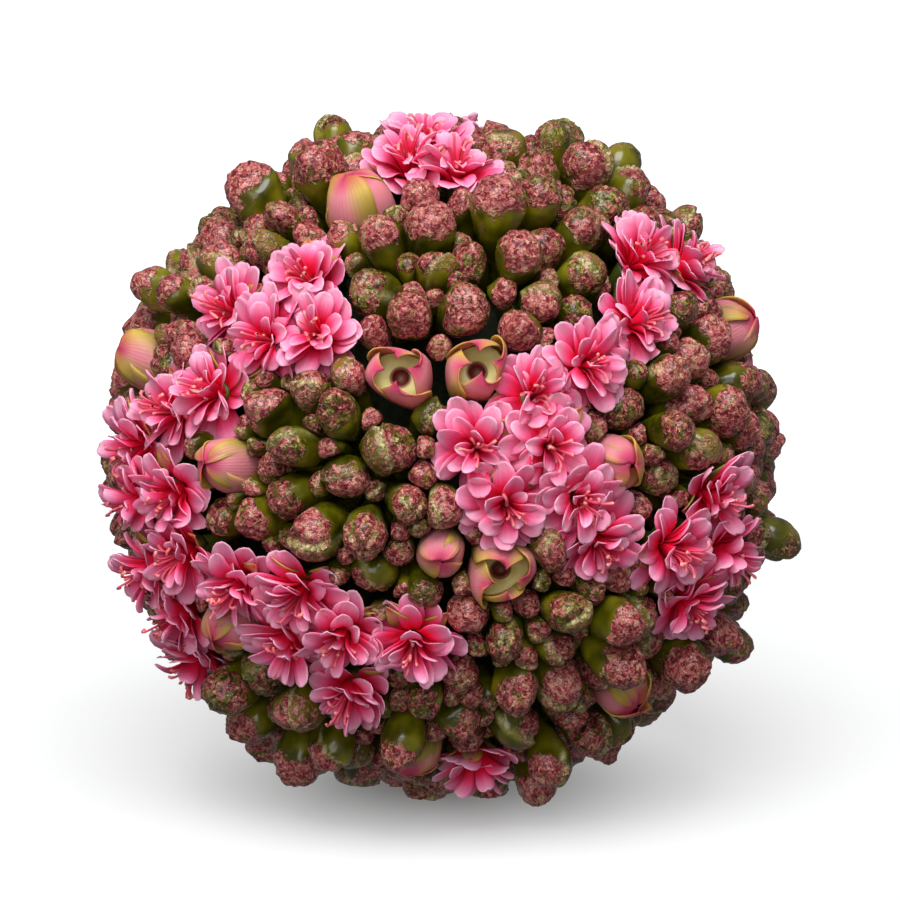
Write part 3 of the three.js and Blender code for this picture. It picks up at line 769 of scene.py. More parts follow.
def crumpled(points, size, shift):
    """Sharp folds between soft hollows, from about -1 to 1."""
    return 1 - 4 * np.abs(rough(points, size, shift))


def frames_along(line, along, reference):
    a, b, c = line
    t = along[:, None]
    tangent = 2 * (1 - t) * (b - a) + 2 * t * (c - b)
    tangent /= np.linalg.norm(tangent, axis=1)[:, None]
    across = np.cross(reference, tangent)
    across /= np.linalg.norm(across, axis=1)[:, None]
    return tangent, across, np.cross(tangent, across)


print("rings in a large club:", len(club_outline(FINE_CLUB, 25.0, HEAD_RADIUS)[0]))

# %% [markdown]
# A fold rises beyond its edge and has a groove in front of it, and its rim is marked, so that
# the material can leave it pale. Rises and widths are shares of the head's radius, and the
# sizes of wrinkles, lumps and lobes are in millimetres.

# %% Hoods and valves
HOOD_FROM, HOOD_SLANT = 0.12, 0.35
HOOD_RISE, HOOD_RISES_OVER, HOOD_COVERS_OVER = 0.14, 0.10, 0.12
GROOVE_DEPTH, GROOVE_AT, GROOVE_WIDTH = 0.14, 0.06, 0.08
RIM_AT, RIM_WIDTH = 0.05, 0.075
VALVES = 4
CREASE_DEPTH, CREASE_WIDTH = 0.16, 0.14
VALVE_RIM, VALVE_RIM_AT, VALVE_RIM_WIDTH = 0.6, 0.2, 0.07
VALVES_FADE_FROM, VALVES_FADE_TO = 0.3, 0.05


def bell(value, width):
    return np.exp(-((value / width) ** 2))


def hood(side, share, height, turn):
    """A fold that covers the head from one side: its rise, its pale rim and what it covers."""
    edge = share * side - HOOD_FROM - HOOD_SLANT * turn * height
    rise = HOOD_RISE * smooth_step(0.0, HOOD_RISES_OVER, edge)
    rise = rise - GROOVE_DEPTH * bell(edge + GROOVE_AT, GROOVE_WIDTH)
    return rise, bell(edge - RIM_AT, RIM_WIDTH), smooth_step(0.0, HOOD_COVERS_OVER, edge)


def valves(angle, share):
    """Lobes that part along creases from the tip down."""
    from_crease = np.abs(np.sin(VALVES / 2 * angle)) * share
    fade = smooth_step(VALVES_FADE_TO, VALVES_FADE_FROM, share)
    rise = -CREASE_DEPTH * fade * bell(from_crease, CREASE_WIDTH)
    return rise, VALVE_RIM * fade * bell(from_crease - VALVE_RIM_AT, VALVE_RIM_WIDTH)


print("valves on a split head:", VALVES)

# %% [markdown]
# One draw from 0 to 1 says which kind a head is. The first names below are the upper ends of
# the kinds' shares, so two heads in five have a hood. All heads are wrinkled, and most have
# lumps.

# %% The shape of a head
HOODED, SPLIT, LUMPY, BEAKED = 0.40, 0.50, 0.70, 0.84
FOLD_RISE, FOLD_SIZE = 0.055, 2.0
WRINKLE_RISE, WRINKLE_SIZE = 0.025, 1.1
LUMP_RISE, LUMP_SIZE = 0.14, 3.4
LOBE_RISE, LOBE_SIZE, LOBE_DEPTH = 0.16, 5.0, 2.2
BEAK_RISE, BEAK_WIDTH = 0.34, 0.36
SMOOTHER_UNDER_HOOD, LUMPS_UNDER_FOLD = 0.7, 0.5


def head_shape(kind, skin, shift, angle, share, height, draw):
    """How far the skin rises for its kind of head, its pale rims, and what a hood covers."""
    side = np.cos(angle - between(draw, 0, 2 * math.pi))
    turn = spread(draw, 1.0)
    none = np.zeros(skin.shape[:2])
    folds = FOLD_RISE * crumpled(skin, FOLD_SIZE, shift)
    wrinkles = folds + WRINKLE_RISE * rough(skin, WRINKLE_SIZE, shift)
    lumps = LUMP_RISE * rough(skin, LUMP_SIZE, shift)
    if kind < HOODED:
        fold, lip, covered = hood(side, share, height, turn)
        smoother = 1 - SMOOTHER_UNDER_HOOD * covered
        return wrinkles * smoother + LUMPS_UNDER_FOLD * lumps + fold, lip, covered
    if kind < SPLIT:
        fold, lip = valves(angle + turn, share)
        return wrinkles + LUMPS_UNDER_FOLD * lumps + fold, lip, none
    if kind < LUMPY:
        lobes = LOBE_RISE * (1 - LOBE_DEPTH * np.abs(rough(skin, LOBE_SIZE, shift)))
        return wrinkles + lobes, none, none
    if kind < BEAKED:
        beak = BEAK_RISE * bell(share, BEAK_WIDTH) * (height > 0)
        return wrinkles + lumps + beak, none, none
    return wrinkles + lumps, none, none


print("share of hooded heads:", HOODED)

# %% [markdown]
# The skin gets its head's shape, is pressed inside its walls, and is marked with the paint's
# ragged lower edge, which slants and lies a little higher or lower on each head.

# %% The skin of a club
HEAD_OVAL = 0.14
SHAPED_FROM, SHAPED_FULL = -1.1, 0.1
PAINT_FROM, PAINT_FULL = -0.05, 0.75
PAINT_SLANT, PAINT_VARIES = 0.5, 0.3
RAGGED_EDGE, RAGGED_SIZE, RAGGED_SHIFT = 0.35, 2.2, 7
BARE_UNDER_HOOD = 0.55
NOISE_SHIFT = 100


def club_skin(one, draw):
    steps = FINE_CLUB if one["fine"] else SMALL_CLUB
    length = np.linalg.norm(one["line"][2] - one["line"][0])
    along, share, tilt, dome_from = club_outline(steps, length, one["head"])
    centres = bezier(*one["line"], along)
    tangent, across, upward = frames_along(one["line"], along, one["spray"]["across"])
    angle = one["roll"] + 2 * math.pi * np.arange(steps["sides"]) / steps["sides"]
    radial = across[:, None] * np.cos(angle)[:, None] + upward[:, None] * np.sin(angle)[:, None]
    stalk = min(STALK_RADIUS, one["head"] * STALK_TO_HEAD)
    radius = np.where(tilt > 0, one["head"] * share, stalk + (one["head"] - stalk) * share)
    radius[0] = 0.0
    oval = 1 + spread(draw, HEAD_OVAL) * np.cos(2 * angle)
    outwards = radial * np.cos(tilt)[:, None, None] + tangent[:, None] * np.sin(tilt)[:, None, None]
    skin = centres[:, None] + radial * (radius[:, None] * oval)[:, :, None]
    shift = np.array([between(draw, 0, NOISE_SHIFT) for _ in range(3)])
    below = (along - dome_from) * length / one["head"]
    on_head = smooth_step(SHAPED_FROM, SHAPED_FULL, below)[:, None]
    share = (radius / one["head"])[:, None]
    height = np.sin(tilt)[:, None]
    rise, lip, covered = head_shape(next(draw), skin, shift, angle, share, height, draw)
    skin = skin + outwards * (rise * on_head * one["head"])[:, :, None]
    anchors = np.repeat(centres, steps["sides"], axis=0)
    pressed = press(skin.reshape(-1, 3), anchors, one["walls"]).reshape(skin.shape)
    skin = np.where((along >= one["pressed_from"])[:, None, None], pressed, skin)
    skin[0] = centres[0]
    skin[-1] = skin[-1].mean(axis=0)
    slant = between(draw, 0.0, PAINT_SLANT) * np.cos(angle - between(draw, 0, 2 * math.pi))
    ragged = slant + RAGGED_EDGE * rough(skin, RAGGED_SIZE, shift + RAGGED_SHIFT)
    border = below[:, None] + (ragged + spread(draw, PAINT_VARIES))
    cap = smooth_step(PAINT_FROM, PAINT_FULL, border) * (1 - BARE_UNDER_HOOD * covered)
    return skin, True, {"cap": cap, "lip": lip * on_head, "tint": spread(draw, 1.0)}


print("paint starts below the dome by up to", PAINT_SLANT, "of a head's radius")

# %% [markdown]
# A head also presses on the heads beside it. The wall between two heads divides the way
# between them by their sizes. The hub is a flat button that all the stalks grow from, and
# the pick below it goes into the foam.

# %% Make the sprays
NEAR_HEADS = 3.4
PICK_RADIUS = 1.0
PICK_DEPTH_RADIUS = 37.0
SEAT_RADIUS = FOAM_RADIUS + 0.3
PICK_POINT, PICK_IN_HUB = 2.0, 1.0
HUB_EDGE = 1.5
# The hub's outline: shares of its radius, and millimetres over its seat.
HUB_OUTLINE = ((0, 0), (1, 0), (1, 1), (0.9, 2.6), (0.6, 3.2), (0, 3.2))
HUB_SIDES, PICK_SIDES = 20, 10
SKIN_SEED = 1


def walls_between(one, others):
    normals, offsets = [], []
    for other in others:
        way = other["centre"] - one["centre"]
        reach = NEAR_HEADS * (one["head"] + other["head"]) / 2
        if other is not one and np.linalg.norm(way) < reach:
            share = one["head"] / (one["head"] + other["head"])
            normals.append(-unit(way))
            offsets.append(-unit(way) @ (one["centre"] + way * share))
    return normals, offsets


def placed(owner, x, y, up):
    """A grid of points from two distances across an owner's axis and a height along it."""
    upright, across = owner["axis"] * up[:, :, None], owner["across"] * x[:, :, None]
    return upright + across + owner["upward"] * y[:, :, None]


def turned(owner, rings, sides):
    """A skin round an owner's axis from (radius, height) pairs."""
    angle = 2 * math.pi * np.arange(sides) / sides
    radius, height = np.array(rings, dtype=float).T[:, :, None]
    return placed(owner, radius * np.cos(angle), radius * np.sin(angle), height)


def pressed_in(owner, grid, walls):
    points = grid.reshape(-1, 3)
    anchors = (points @ owner["axis"])[:, None] * owner["axis"]
    return press(points, anchors, walls).reshape(grid.shape)


def pick_skin(owner, top):
    shoulder = PICK_DEPTH_RADIUS + PICK_POINT
    rings = [(0, PICK_DEPTH_RADIUS), (PICK_RADIUS, shoulder), (PICK_RADIUS, top), (0, top)]
    return turned(owner, rings, PICK_SIDES), True, {}


def hub_skin(spray, own):
    axis = spray["axis"]
    roots = [one["line"][0] for one in own]
    radius = HUB_EDGE + max(np.linalg.norm(root - axis * (root @ axis)) for root in roots)
    rings = [(share * radius, SEAT_RADIUS + height) for share, height in HUB_OUTLINE]
    return pressed_in(spray, turned(spray, rings, HUB_SIDES), walls_of(spray)), True, {}


def make_spray(spray):
    own = [one for one in clubs if one["spray"] is spray]
    small = [one for one in fillers if one["spray"] is spray]
    draw = draws(spray["seed"] + SKIN_SEED)
    grids = [hub_skin(spray, own), pick_skin(spray, SEAT_RADIUS + PICK_IN_HUB)]
    for one in own:
        normals, offsets = walls_between(one, own)
        normals, offsets = list(one["walls"][0]) + normals, list(one["walls"][1]) + offsets
        one["walls"] = np.array(normals), np.array(offsets)
    grids += [club_skin(one, draw) for one in own + small]
    piece = piece_from_grids("buds_" + spray["node"], grids, ("cap", "lip", "tint"))
    weld_and_face_out(piece)
    dress(piece, spray["node"], BUD_PVC)
    return len(own) + len(small)


clubs_made = [make_spray(spray) for spray in sprays]
print("clubs:", sum(clubs_made), "in", len(clubs_made), "sprays")

# %% [markdown]
# ### Satin cloth for the petals
# The petals are stamped from thin polyester satin and dip-dyed, so the rose red of the
# throat runs out into light pink, a little further along some threads than along others. The
# marks "along" and "across" lie on the petal itself, so the dye follows its shape. Light goes
# into the thin cloth and comes out red, so even the shadows between petals glow. Real threads
# are too fine to show here, so the weave is drawn as grain of half a millimetre.

# %% The petal material
WEAVE, WEAVE_RELIEF = 0.5, 0.15
DYE_CLOUD = 4.0
THREADS_ACROSS = 4.0
DYE_SHIFT, DYE_BY_TINT = 0.16, 0.05
DYE = [
    (0.00, 0xdc0430), (0.16, 0xee0838), (0.28, 0xf2164a), (0.38, 0xf23062), (0.50, 0xf25284),
    (0.64, 0xf47ca4), (0.80, 0xf8a4c0),
]


def petal_satin():
    material = new_material("dyed_polyester_satin")
    where = node(material, "ShaderNodeTexCoord").outputs["Object"]
    along, across, tint = (
        node(material, "ShaderNodeAttribute", attribute_name=mark).outputs["Fac"]
        for mark in ("along", "across", "tint")
    )
    threads = node(material, "ShaderNodeCombineXYZ", {"X": across, "Y": tint}).outputs[0]
    runs = node(
        material, "ShaderNodeTexNoise", {"Vector": threads, "Scale": THREADS_ACROSS, "Detail": 2.0}
    ).outputs["Fac"]
    cloud = node(
        material, "ShaderNodeTexNoise", {"Vector": where, "Scale": per_mm(DYE_CLOUD), "Detail": 1.0}
    ).outputs["Fac"]
    uneven = node(material, "ShaderNodeMath", {0: runs, 1: cloud}, operation="ADD").outputs[0]
    shifted = node(
        material, "ShaderNodeMath", {0: uneven, 1: -DYE_SHIFT, 2: along}, operation="MULTIPLY_ADD"
    ).outputs[0]
    moved = node(
        material, "ShaderNodeMath", {0: tint, 1: DYE_BY_TINT, 2: shifted}, operation="MULTIPLY_ADD"
    ).outputs[0]
    dye = node(material, "ShaderNodeValToRGB", {"Fac": moved}, stops=DYE).outputs["Color"]
    weave = node(
        material, "ShaderNodeTexNoise", {"Vector": where, "Scale": per_mm(WEAVE), "Detail": 2.0}
    ).outputs["Fac"]
    bump = node(
        material, "ShaderNodeBump", {"Height": weave, "Strength": 0.25, "Distance": WEAVE_RELIEF * MM}
    )
    shader = node(material, "ShaderNodeBsdfPrincipled", {
        "Base Color": dye, "Roughness": 0.66, "Specular IOR Level": 0.3,
        "Subsurface Weight": 0.35, "Subsurface Radius": (1.0, 0.34, 0.42), "Subsurface Scale": 1.8 * MM,
        "Normal": bump.outputs["Normal"],
    })
    finish(material, shader)
    return material


PETAL_SATIN = petal_satin()
print("made", PETAL_SATIN.name)

# %% [markdown]
# ### Ribbed polyester for the calyx
# The sepals are a heavier, ribbed cloth: green at the foot, pink in the middle, magenta at the
# tip, and running out softly into olive and orange at the edge, more on the riper ones.

# %% The sepal material
RIBS_ACROSS, RIB_RELIEF = 55.0, 0.06
SEPAL_CLOUD = 5.0
EDGE_CLOUD, EDGE_WHEN_RIPE = 0.9, 0.5
OLIVE_FROM, OLIVE_TO = 0.9, 1.6
SEPAL_MIDDLE = [
    (0.2, 0x6e6020), (0.40, 0xa64e50), (0.60, 0xcc787e), (0.82, 0xd67c88), (0.92, 0xc84468),
    (1.0, 0xaa1c4e),
]
SEPAL_EDGE = [(0.3, 0x66641c), (0.6, 0x9c8a36), (0.85, 0xc09e48), (1.0, 0xc0584e)]


def calyx_cloth():
    material = new_material("ribbed_polyester_calyx")
    where = node(material, "ShaderNodeTexCoord").outputs["Object"]
    along, across, ripe = (
        node(material, "ShaderNodeAttribute", attribute_name=mark).outputs["Fac"]
        for mark in ("along", "across", "ripe")
    )
    cloud = node(
        material, "ShaderNodeTexNoise", {"Vector": where, "Scale": per_mm(SEPAL_CLOUD), "Detail": 2.0}
    ).outputs["Fac"]
    side = node(material, "ShaderNodeMath", {0: across}, operation="ABSOLUTE").outputs[0]
    outer = node(
        material, "ShaderNodeMath", {0: cloud, 1: EDGE_CLOUD, 2: side}, operation="MULTIPLY_ADD"
    ).outputs[0]
    faded = node(
        material, "ShaderNodeMath", {0: ripe, 1: EDGE_WHEN_RIPE, 2: outer}, operation="MULTIPLY_ADD"
    ).outputs[0]
    middle = node(material, "ShaderNodeValToRGB", {"Fac": along}, stops=SEPAL_MIDDLE).outputs["Color"]
    edge = node(material, "ShaderNodeValToRGB", {"Fac": along}, stops=SEPAL_EDGE).outputs["Color"]
    olive = node(
        material, "ShaderNodeMapRange", {"Value": faded, "From Min": OLIVE_FROM, "From Max": OLIVE_TO}
    ).outputs["Result"]
    dye = node(material, "ShaderNodeMix", {0: olive, 6: middle, 7: edge}, data_type="RGBA").outputs[2]
    ribs = node(material, "ShaderNodeMath", {0: across, 1: RIBS_ACROSS}, operation="MULTIPLY").outputs[0]
    waves = node(material, "ShaderNodeMath", {0: ribs}, operation="SINE").outputs[0]
    bump = node(
        material, "ShaderNodeBump", {"Height": waves, "Strength": 0.25, "Distance": RIB_RELIEF * MM}
    )
    shader = node(material, "ShaderNodeBsdfPrincipled", {
        "Base Color": dye, "Roughness": 0.55, "Specular IOR Level": 0.35,
        "Subsurface Weight": 0.25, "Subsurface Radius": (1.0, 0.5, 0.35), "Subsurface Scale": 2.0 * MM,
        "Normal": bump.outputs["Normal"],
    })
    finish(material, shader)
    return material


CALYX_CLOTH = calyx_cloth()
print("made", CALYX_CLOTH.name)

# %% [markdown]
# ### Thread and polyethylene
# The filaments are cotton thread stiffened with size: coral pink, with paler ends. The stems,
# the tubes and the floor of a calyx are injection-moulded polyethylene, slightly waxy: olive
# below, and pale green on the floor. The hole where the blossom's stalk went in is dark with
# painted shade.

# %% The filament and base materials
CORAL = [(0.0, 0xc82044), (0.5, 0xe04a68), (0.85, 0xea7280), (1.0, 0xee9080)]
PALE_GREEN = [(0.35, 0xb6ac58), (0.5, 0xccc472), (0.65, 0xdcd694)]
HOLE_PAINTED_SHADE = 0x6a2c1c
STEM_OLIVE = 0x4a5410


def filament_thread():
    material = new_material("stiffened_filament_thread")
    along = node(material, "ShaderNodeAttribute", attribute_name="along").outputs["Fac"]
    colour = node(material, "ShaderNodeValToRGB", {"Fac": along}, stops=CORAL).outputs["Color"]
    shader = node(material, "ShaderNodeBsdfPrincipled", {
        "Base Color": colour, "Roughness": 0.5,
        "Subsurface Weight": 0.2, "Subsurface Radius": (1.0, 0.4, 0.35), "Subsurface Scale": 1.0 * MM,
    })
    finish(material, shader)
    return material


def calyx_base():
    material = new_material("moulded_polyethylene_base")
    where = node(material, "ShaderNodeTexCoord").outputs["Object"]
    hole, floor = (
        node(material, "ShaderNodeAttribute", attribute_name=mark).outputs["Fac"]
        for mark in ("hole", "floor")
    )
    cloud = node(
        material, "ShaderNodeTexNoise", {"Vector": where, "Scale": per_mm(SEPAL_CLOUD), "Detail": 2.0}
    ).outputs["Fac"]
    green = node(material, "ShaderNodeValToRGB", {"Fac": cloud}, stops=PALE_GREEN).outputs["Color"]
    # The hole is coloured dark reddish brown as painted shade, for the darkness down in it.
    above = node(
        material, "ShaderNodeMix", {0: hole, 6: green, 7: linear(HOLE_PAINTED_SHADE)}, data_type="RGBA"
    ).outputs[2]
    colour = node(
        material, "ShaderNodeMix", {0: floor, 6: linear(STEM_OLIVE), 7: above}, data_type="RGBA"
    ).outputs[2]
    shader = node(material, "ShaderNodeBsdfPrincipled", {
        "Base Color": colour, "Roughness": 0.45, "IOR": 1.51,
        "Subsurface Weight": 0.15, "Subsurface Radius": (1.0, 0.8, 0.4), "Subsurface Scale": 1.0 * MM,
    })
    finish(material, shader)
    return material


FILAMENT_THREAD = filament_thread()
CALYX_BASE = calyx_base()
print("made", FILAMENT_THREAD.name, "and", CALYX_BASE.name)

# %% [markdown]
# ## Blossoms
# A double blossom has four rings of petals on one tube. Each petal leaves the throat almost
# upright, bends outwards over its knee, and ends in a round tip. The lowest ring spreads flat
# and wide, so neighbouring blossoms run into one another. Lengths are given as a place out
# from the blossom's axis and a height over the middle of the ball, in millimetres.

# %% The forms of the petals
ROUND_TIP = (
    (0, 0.3), (0.2, 0.38), (0.4, 0.6), (0.6, 0.88), (0.75, 1.0), (0.87, 0.97), (0.94, 0.8), (1.0, 0.36),
)
POINTED_TIP = (
    (0, 0.34), (0.2, 0.5), (0.4, 0.8), (0.55, 1.0), (0.68, 0.96), (0.82, 0.7), (0.93, 0.36), (1.0, 0.05),
)
SEPAL_OUTLINE = ((0, 0.5), (0.3, 0.8), (0.55, 1.0), (0.75, 0.8), (0.9, 0.42), (1.0, 0.08))


def petal_form(base, knee, tip, width, outlines):
    return {"base": base, "knee": knee, "tip": tip, "width": width, "outlines": outlines}


UNDER_RING = petal_form((1.0, 60.6), (3.2, 64.4), (11.4, 63.6), 5.2, (ROUND_TIP, POINTED_TIP))
OUTER_RING = petal_form((0.9, 61.0), (2.6, 65.8), (9.2, 65.6), 4.8, (ROUND_TIP, POINTED_TIP))
MIDDLE_RING = petal_form((0.8, 61.3), (2.0, 67.4), (7.0, 68.0), 4.1, (ROUND_TIP, POINTED_TIP))
INNER_RING = petal_form((0.6, 61.6), (1.1, 67.6), (4.4, 69.4), 2.8, (ROUND_TIP, POINTED_TIP))
CALYX_TIP = petal_form((2.0, 59.5), (3.6, 63.2), (9.6, 64.0), 4.4, (SEPAL_OUTLINE, SEPAL_OUTLINE))

# Each ring: its form, how many petals, its share of a turn, and how unruly its petals are.
RINGS = (
    (UNDER_RING, 11, 0.5, 1.5),
    (OUTER_RING, 7, 0.0, 1.9),
    (MIDDLE_RING, 6, 0.45, 2.1),
    (INNER_RING, 5, 0.1, 2.2),
)
print("petals in a blossom:", sum(count for _, count, _, _ in RINGS))

# %% [markdown]
# A petal is one sheet, bent along a curve and cupped across it, and a Solidify modifier gives
# it the thickness of cloth later. The outline gives its width at each step, with the corners
# between the outline's points rounded off.

# %% The outline of a petal
PETAL_STEPS = np.array((0, 0.16, 0.32, 0.47, 0.61, 0.74, 0.86, 0.95, 1.0))
PETAL_COLUMNS = np.linspace(-1, 1, 5)
OUTLINE_STEPS = 101
ROUNDED_OVER = 7


def smooth_outline(outline, steps):
    at, width = np.array(outline).T
    fine = np.linspace(0, 1, OUTLINE_STEPS)
    soft = np.interp(fine, at, width)
    ends = ROUNDED_OVER // 2
    soft[ends:-ends] = np.convolve(soft, np.ones(ROUNDED_OVER) / ROUNDED_OVER, mode="valid")
    return np.interp(steps, fine, soft)


print("points in a petal:", len(PETAL_STEPS) * len(PETAL_COLUMNS))

# %% [markdown]
# No two petals are alike: each draws its own length, width, droop, cup, curl, twist and sway,
# in millimetres or degrees, and an unruly ring multiplies some of them.

# %% A petal as a bent sheet
SHORTEST, LONGEST = 0.88, 1.08
NARROWEST_PETAL, WIDEST_PETAL = 0.88, 1.1
MOST_DROOP, KNEE_FOLLOWS = 1.3, 0.5
MOST_POINTED, MOST_CUPPED, MOST_CURLED = 0.2, 0.8, 1.1
MOST_TWIST = math.radians(24)
MOST_SWAY = 0.8
CREASE, CREASE_SPREAD = 0.25, 0.3
CURL_FROM, CURL_SHARPNESS = 0.6, 1.5


def middle_line(form, draw, disorder):
    """The petal's middle line and its upper side, as places out from the axis and up."""
    base, knee, tip = (np.array(form[key]) for key in ("base", "knee", "tip"))
    length = between(draw, SHORTEST, LONGEST)
    droop = spread(draw, MOST_DROOP) * disorder
    tip = np.array((tip[0] * length, tip[1] + droop))
    knee = np.array((knee[0], knee[1] + KNEE_FOLLOWS * droop))
    s = PETAL_STEPS[:, None]
    slope = 2 * (1 - s) * (knee - base) + 2 * s * (tip - knee)
    slope /= np.linalg.norm(slope, axis=1)[:, None]
    return bezier(base, knee, tip, PETAL_STEPS), np.stack((-slope[:, 1], slope[:, 0]), axis=1)


def bent_sheet(form, draw, disorder):
    """A petal in its own frame: out (away from the axis), aside and up, with its foot at the axis."""
    s, u = PETAL_STEPS, PETAL_COLUMNS
    line, normal = middle_line(form, draw, disorder)
    round_tip, pointed_tip = (smooth_outline(outline, s) for outline in form["outlines"])
    pointed = between(draw, 0.0, MOST_POINTED)
    width = form["width"] * between(draw, NARROWEST_PETAL, WIDEST_PETAL)
    half = width / 2 * (round_tip * (1 - pointed) + pointed_tip * pointed)
    cup = between(draw, 0.0, MOST_CUPPED)
    curl = spread(draw, MOST_CURLED)
    rise = cup * np.outer(half / half.max(), u**2) - CREASE * np.outer(s, bell(u, CREASE_SPREAD))
    rise = rise + curl * (smooth_step(CURL_FROM, 1.0, s) ** CURL_SHARPNESS)[:, None]
    twist = spread(draw, MOST_TWIST) * disorder * s[:, None]
    aside = half[:, None] * u * np.cos(twist)
    rise = rise + half[:, None] * u * np.sin(twist)
    sway = spread(draw, MOST_SWAY) * disorder * s[:, None] ** 2
    out = line[:, :1] + normal[:, :1] * rise
    up = line[:, 1:] + normal[:, 1:] * rise
    return out, aside + sway, up


print("a petal's length varies by up to", round(100 * (LONGEST - SHORTEST)), "percent")

# %% [markdown]
# A blossom leans over to some side. What the press takes off a petal's length goes into its
# height instead, so petals in a crowd stand up.

# %% A petal on its blossom
LIFT = 0.45
MOST_TILT, MOST_TURNED = math.radians(23), math.radians(10)
TILT_HEIGHT = 61.0
MOST_RAISED = 1.1


def on_owner(owner, out, aside, up, angle):
    x = out * math.cos(angle) - aside * math.sin(angle)
    y = out * math.sin(angle) + aside * math.cos(angle)
    return placed(owner, x, y, up)


def lifted(owner, grid, walls):
    """Presses a sheet inside its walls, and raises each point for what it loses in reach."""
    pressed = pressed_in(owner, grid, walls)
    lost = np.linalg.norm(grid - pressed, axis=2)
    return pressed + owner["axis"] * (LIFT * lost)[:, :, None]


def tilt_of(owner, draw):
    """The turn that leans a blossom over to some side."""
    way = between(draw, 0, 2 * math.pi)
    hinge = owner["across"] * math.cos(way) + owner["upward"] * math.sin(way)
    return np.array(Matrix.Rotation(between(draw, 0, MOST_TILT), 3, Vector(hinge)))


def tilted(owner, points):
    pivot = owner["axis"] * TILT_HEIGHT
    return pivot + owner["axis"] * owner["raised"] + (points - pivot) @ owner["tilt"].T


def petal(owner, form, angle, walls, draw, disorder=1.0, **own):
    out, aside, up = bent_sheet(form, draw, disorder)
    angle += spread(draw, MOST_TURNED) * disorder
    sheet = tilted(owner, on_owner(owner, out, aside, up, angle))
    marks = {"along": PETAL_STEPS[:, None], "across": PETAL_COLUMNS[None]}
    return lifted(owner, sheet, walls), False, {**marks, "tint": spread(draw, 1.0), **own}


print("a petal leans by up to", round(math.degrees(MOST_TILT)), "degrees with its blossom")

# %% [markdown]
# The filaments are round threads that curl out of the throat, each with a small anther at its
# end. The tube and the stems below the petals are hardly seen, but they are what holds each
# blossom on its pick.

# %% Filaments, tubes and stems
FILAMENTS = 10
FILAMENT_SIDES, FILAMENT_STEPS = 5, 8
FILAMENT_RADIUS = 0.24
ANTHER = (1, 1, 1, 1, 1, 1.1, 1.5, 1.2)
FILAMENT_FROM, FILAMENT_FOOT = 0.4, 62.5
LEAST_LEAN, MOST_LEAN, LEAN_SHARPNESS = 0.8, 4.2, 1.6
LOWEST_TOP, HIGHEST_TOP = 66.8, 72.4
LEAST_CURL, MOST_CURL = 1.5, 2.2
MOST_ASIDE = 1.2
RING_SLANT = 0.3
TUBE_RINGS = [
    (0, SEAT_RADIUS), (0.9, SEAT_RADIUS + 1), (1.1, 53), (1.6, 58), (2.2, 61.2), (1.6, 61.8), (0, 61.4),
]
STEM_HEIGHT, STEM_RADIUS = 58.5, 0.6
STEM_STEPS, STEM_SIDES, TUBE_SIDES = 4, 8, 12


def thread(points, radii, sides, reference):
    """A round skin along points, closed at both ends."""
    points = np.concatenate((points[:1], points, points[-1:]))
    radii = np.concatenate(((0.0,), radii, (0.0,)))
    tangent = np.gradient(points, axis=0)
    tangent /= np.linalg.norm(tangent, axis=1)[:, None]
    across = np.cross(reference, tangent)
    across /= np.linalg.norm(across, axis=1)[:, None]
    upward = np.cross(tangent, across)
    angle = 2 * math.pi * np.arange(sides) / sides
    ring = across[:, None] * np.cos(angle)[:, None] + upward[:, None] * np.sin(angle)[:, None]
    return points[:, None] + ring * radii[:, None, None]


def filament(owner, draw):
    angle = next(draw) * 2 * math.pi
    lean = between(draw, LEAST_LEAN, MOST_LEAN)
    top = between(draw, LOWEST_TOP, HIGHEST_TOP)
    steps = np.linspace(0, 1, FILAMENT_STEPS)
    out = FILAMENT_FROM + (lean - FILAMENT_FROM) * steps**LEAN_SHARPNESS
    up = FILAMENT_FOOT + (top - FILAMENT_FOOT) * np.sin(steps * between(draw, LEAST_CURL, MOST_CURL))
    aside = between(draw, -MOST_ASIDE, MOST_ASIDE) * steps**2
    points = tilted(owner, on_owner(owner, out[:, None], aside[:, None], up[:, None], angle)[:, 0])
    radii = FILAMENT_RADIUS * np.array(ANTHER)
    marks = {"along": np.concatenate(((0,), steps, (1,)))[:, None]}
    reference = owner["across"] + RING_SLANT * owner["upward"]
    return thread(points, radii, FILAMENT_SIDES, reference), True, marks


def stem(owner, host):
    ends = np.array((owner["axis"], host["axis"])) * STEM_HEIGHT
    points = ends[0] + (ends[1] - ends[0]) * np.linspace(0, 1, STEM_STEPS)[:, None]
    return thread(points, np.full(STEM_STEPS, STEM_RADIUS), STEM_SIDES, owner["axis"]), True, {}


def tube(owner):
    return turned(owner, TUBE_RINGS, TUBE_SIDES), True, {}


def nearest_host(owner, earlier):
    return max(earlier, key=lambda other: other["axis"] @ owner["axis"])


print("filaments in a blossom:", FILAMENTS)

# %% [markdown]
# ## Calyx cups
# Where a blossom is missing, its calyx is left. Three of them on each side stand open: four
# sepals that bulge and then curl in over a pale floor, with the hole that the blossom's stalk
# went into. The others are still shut, like rosebuds. Each sepal laps over the next one, so
# its one edge lies a little further out than its other edge.

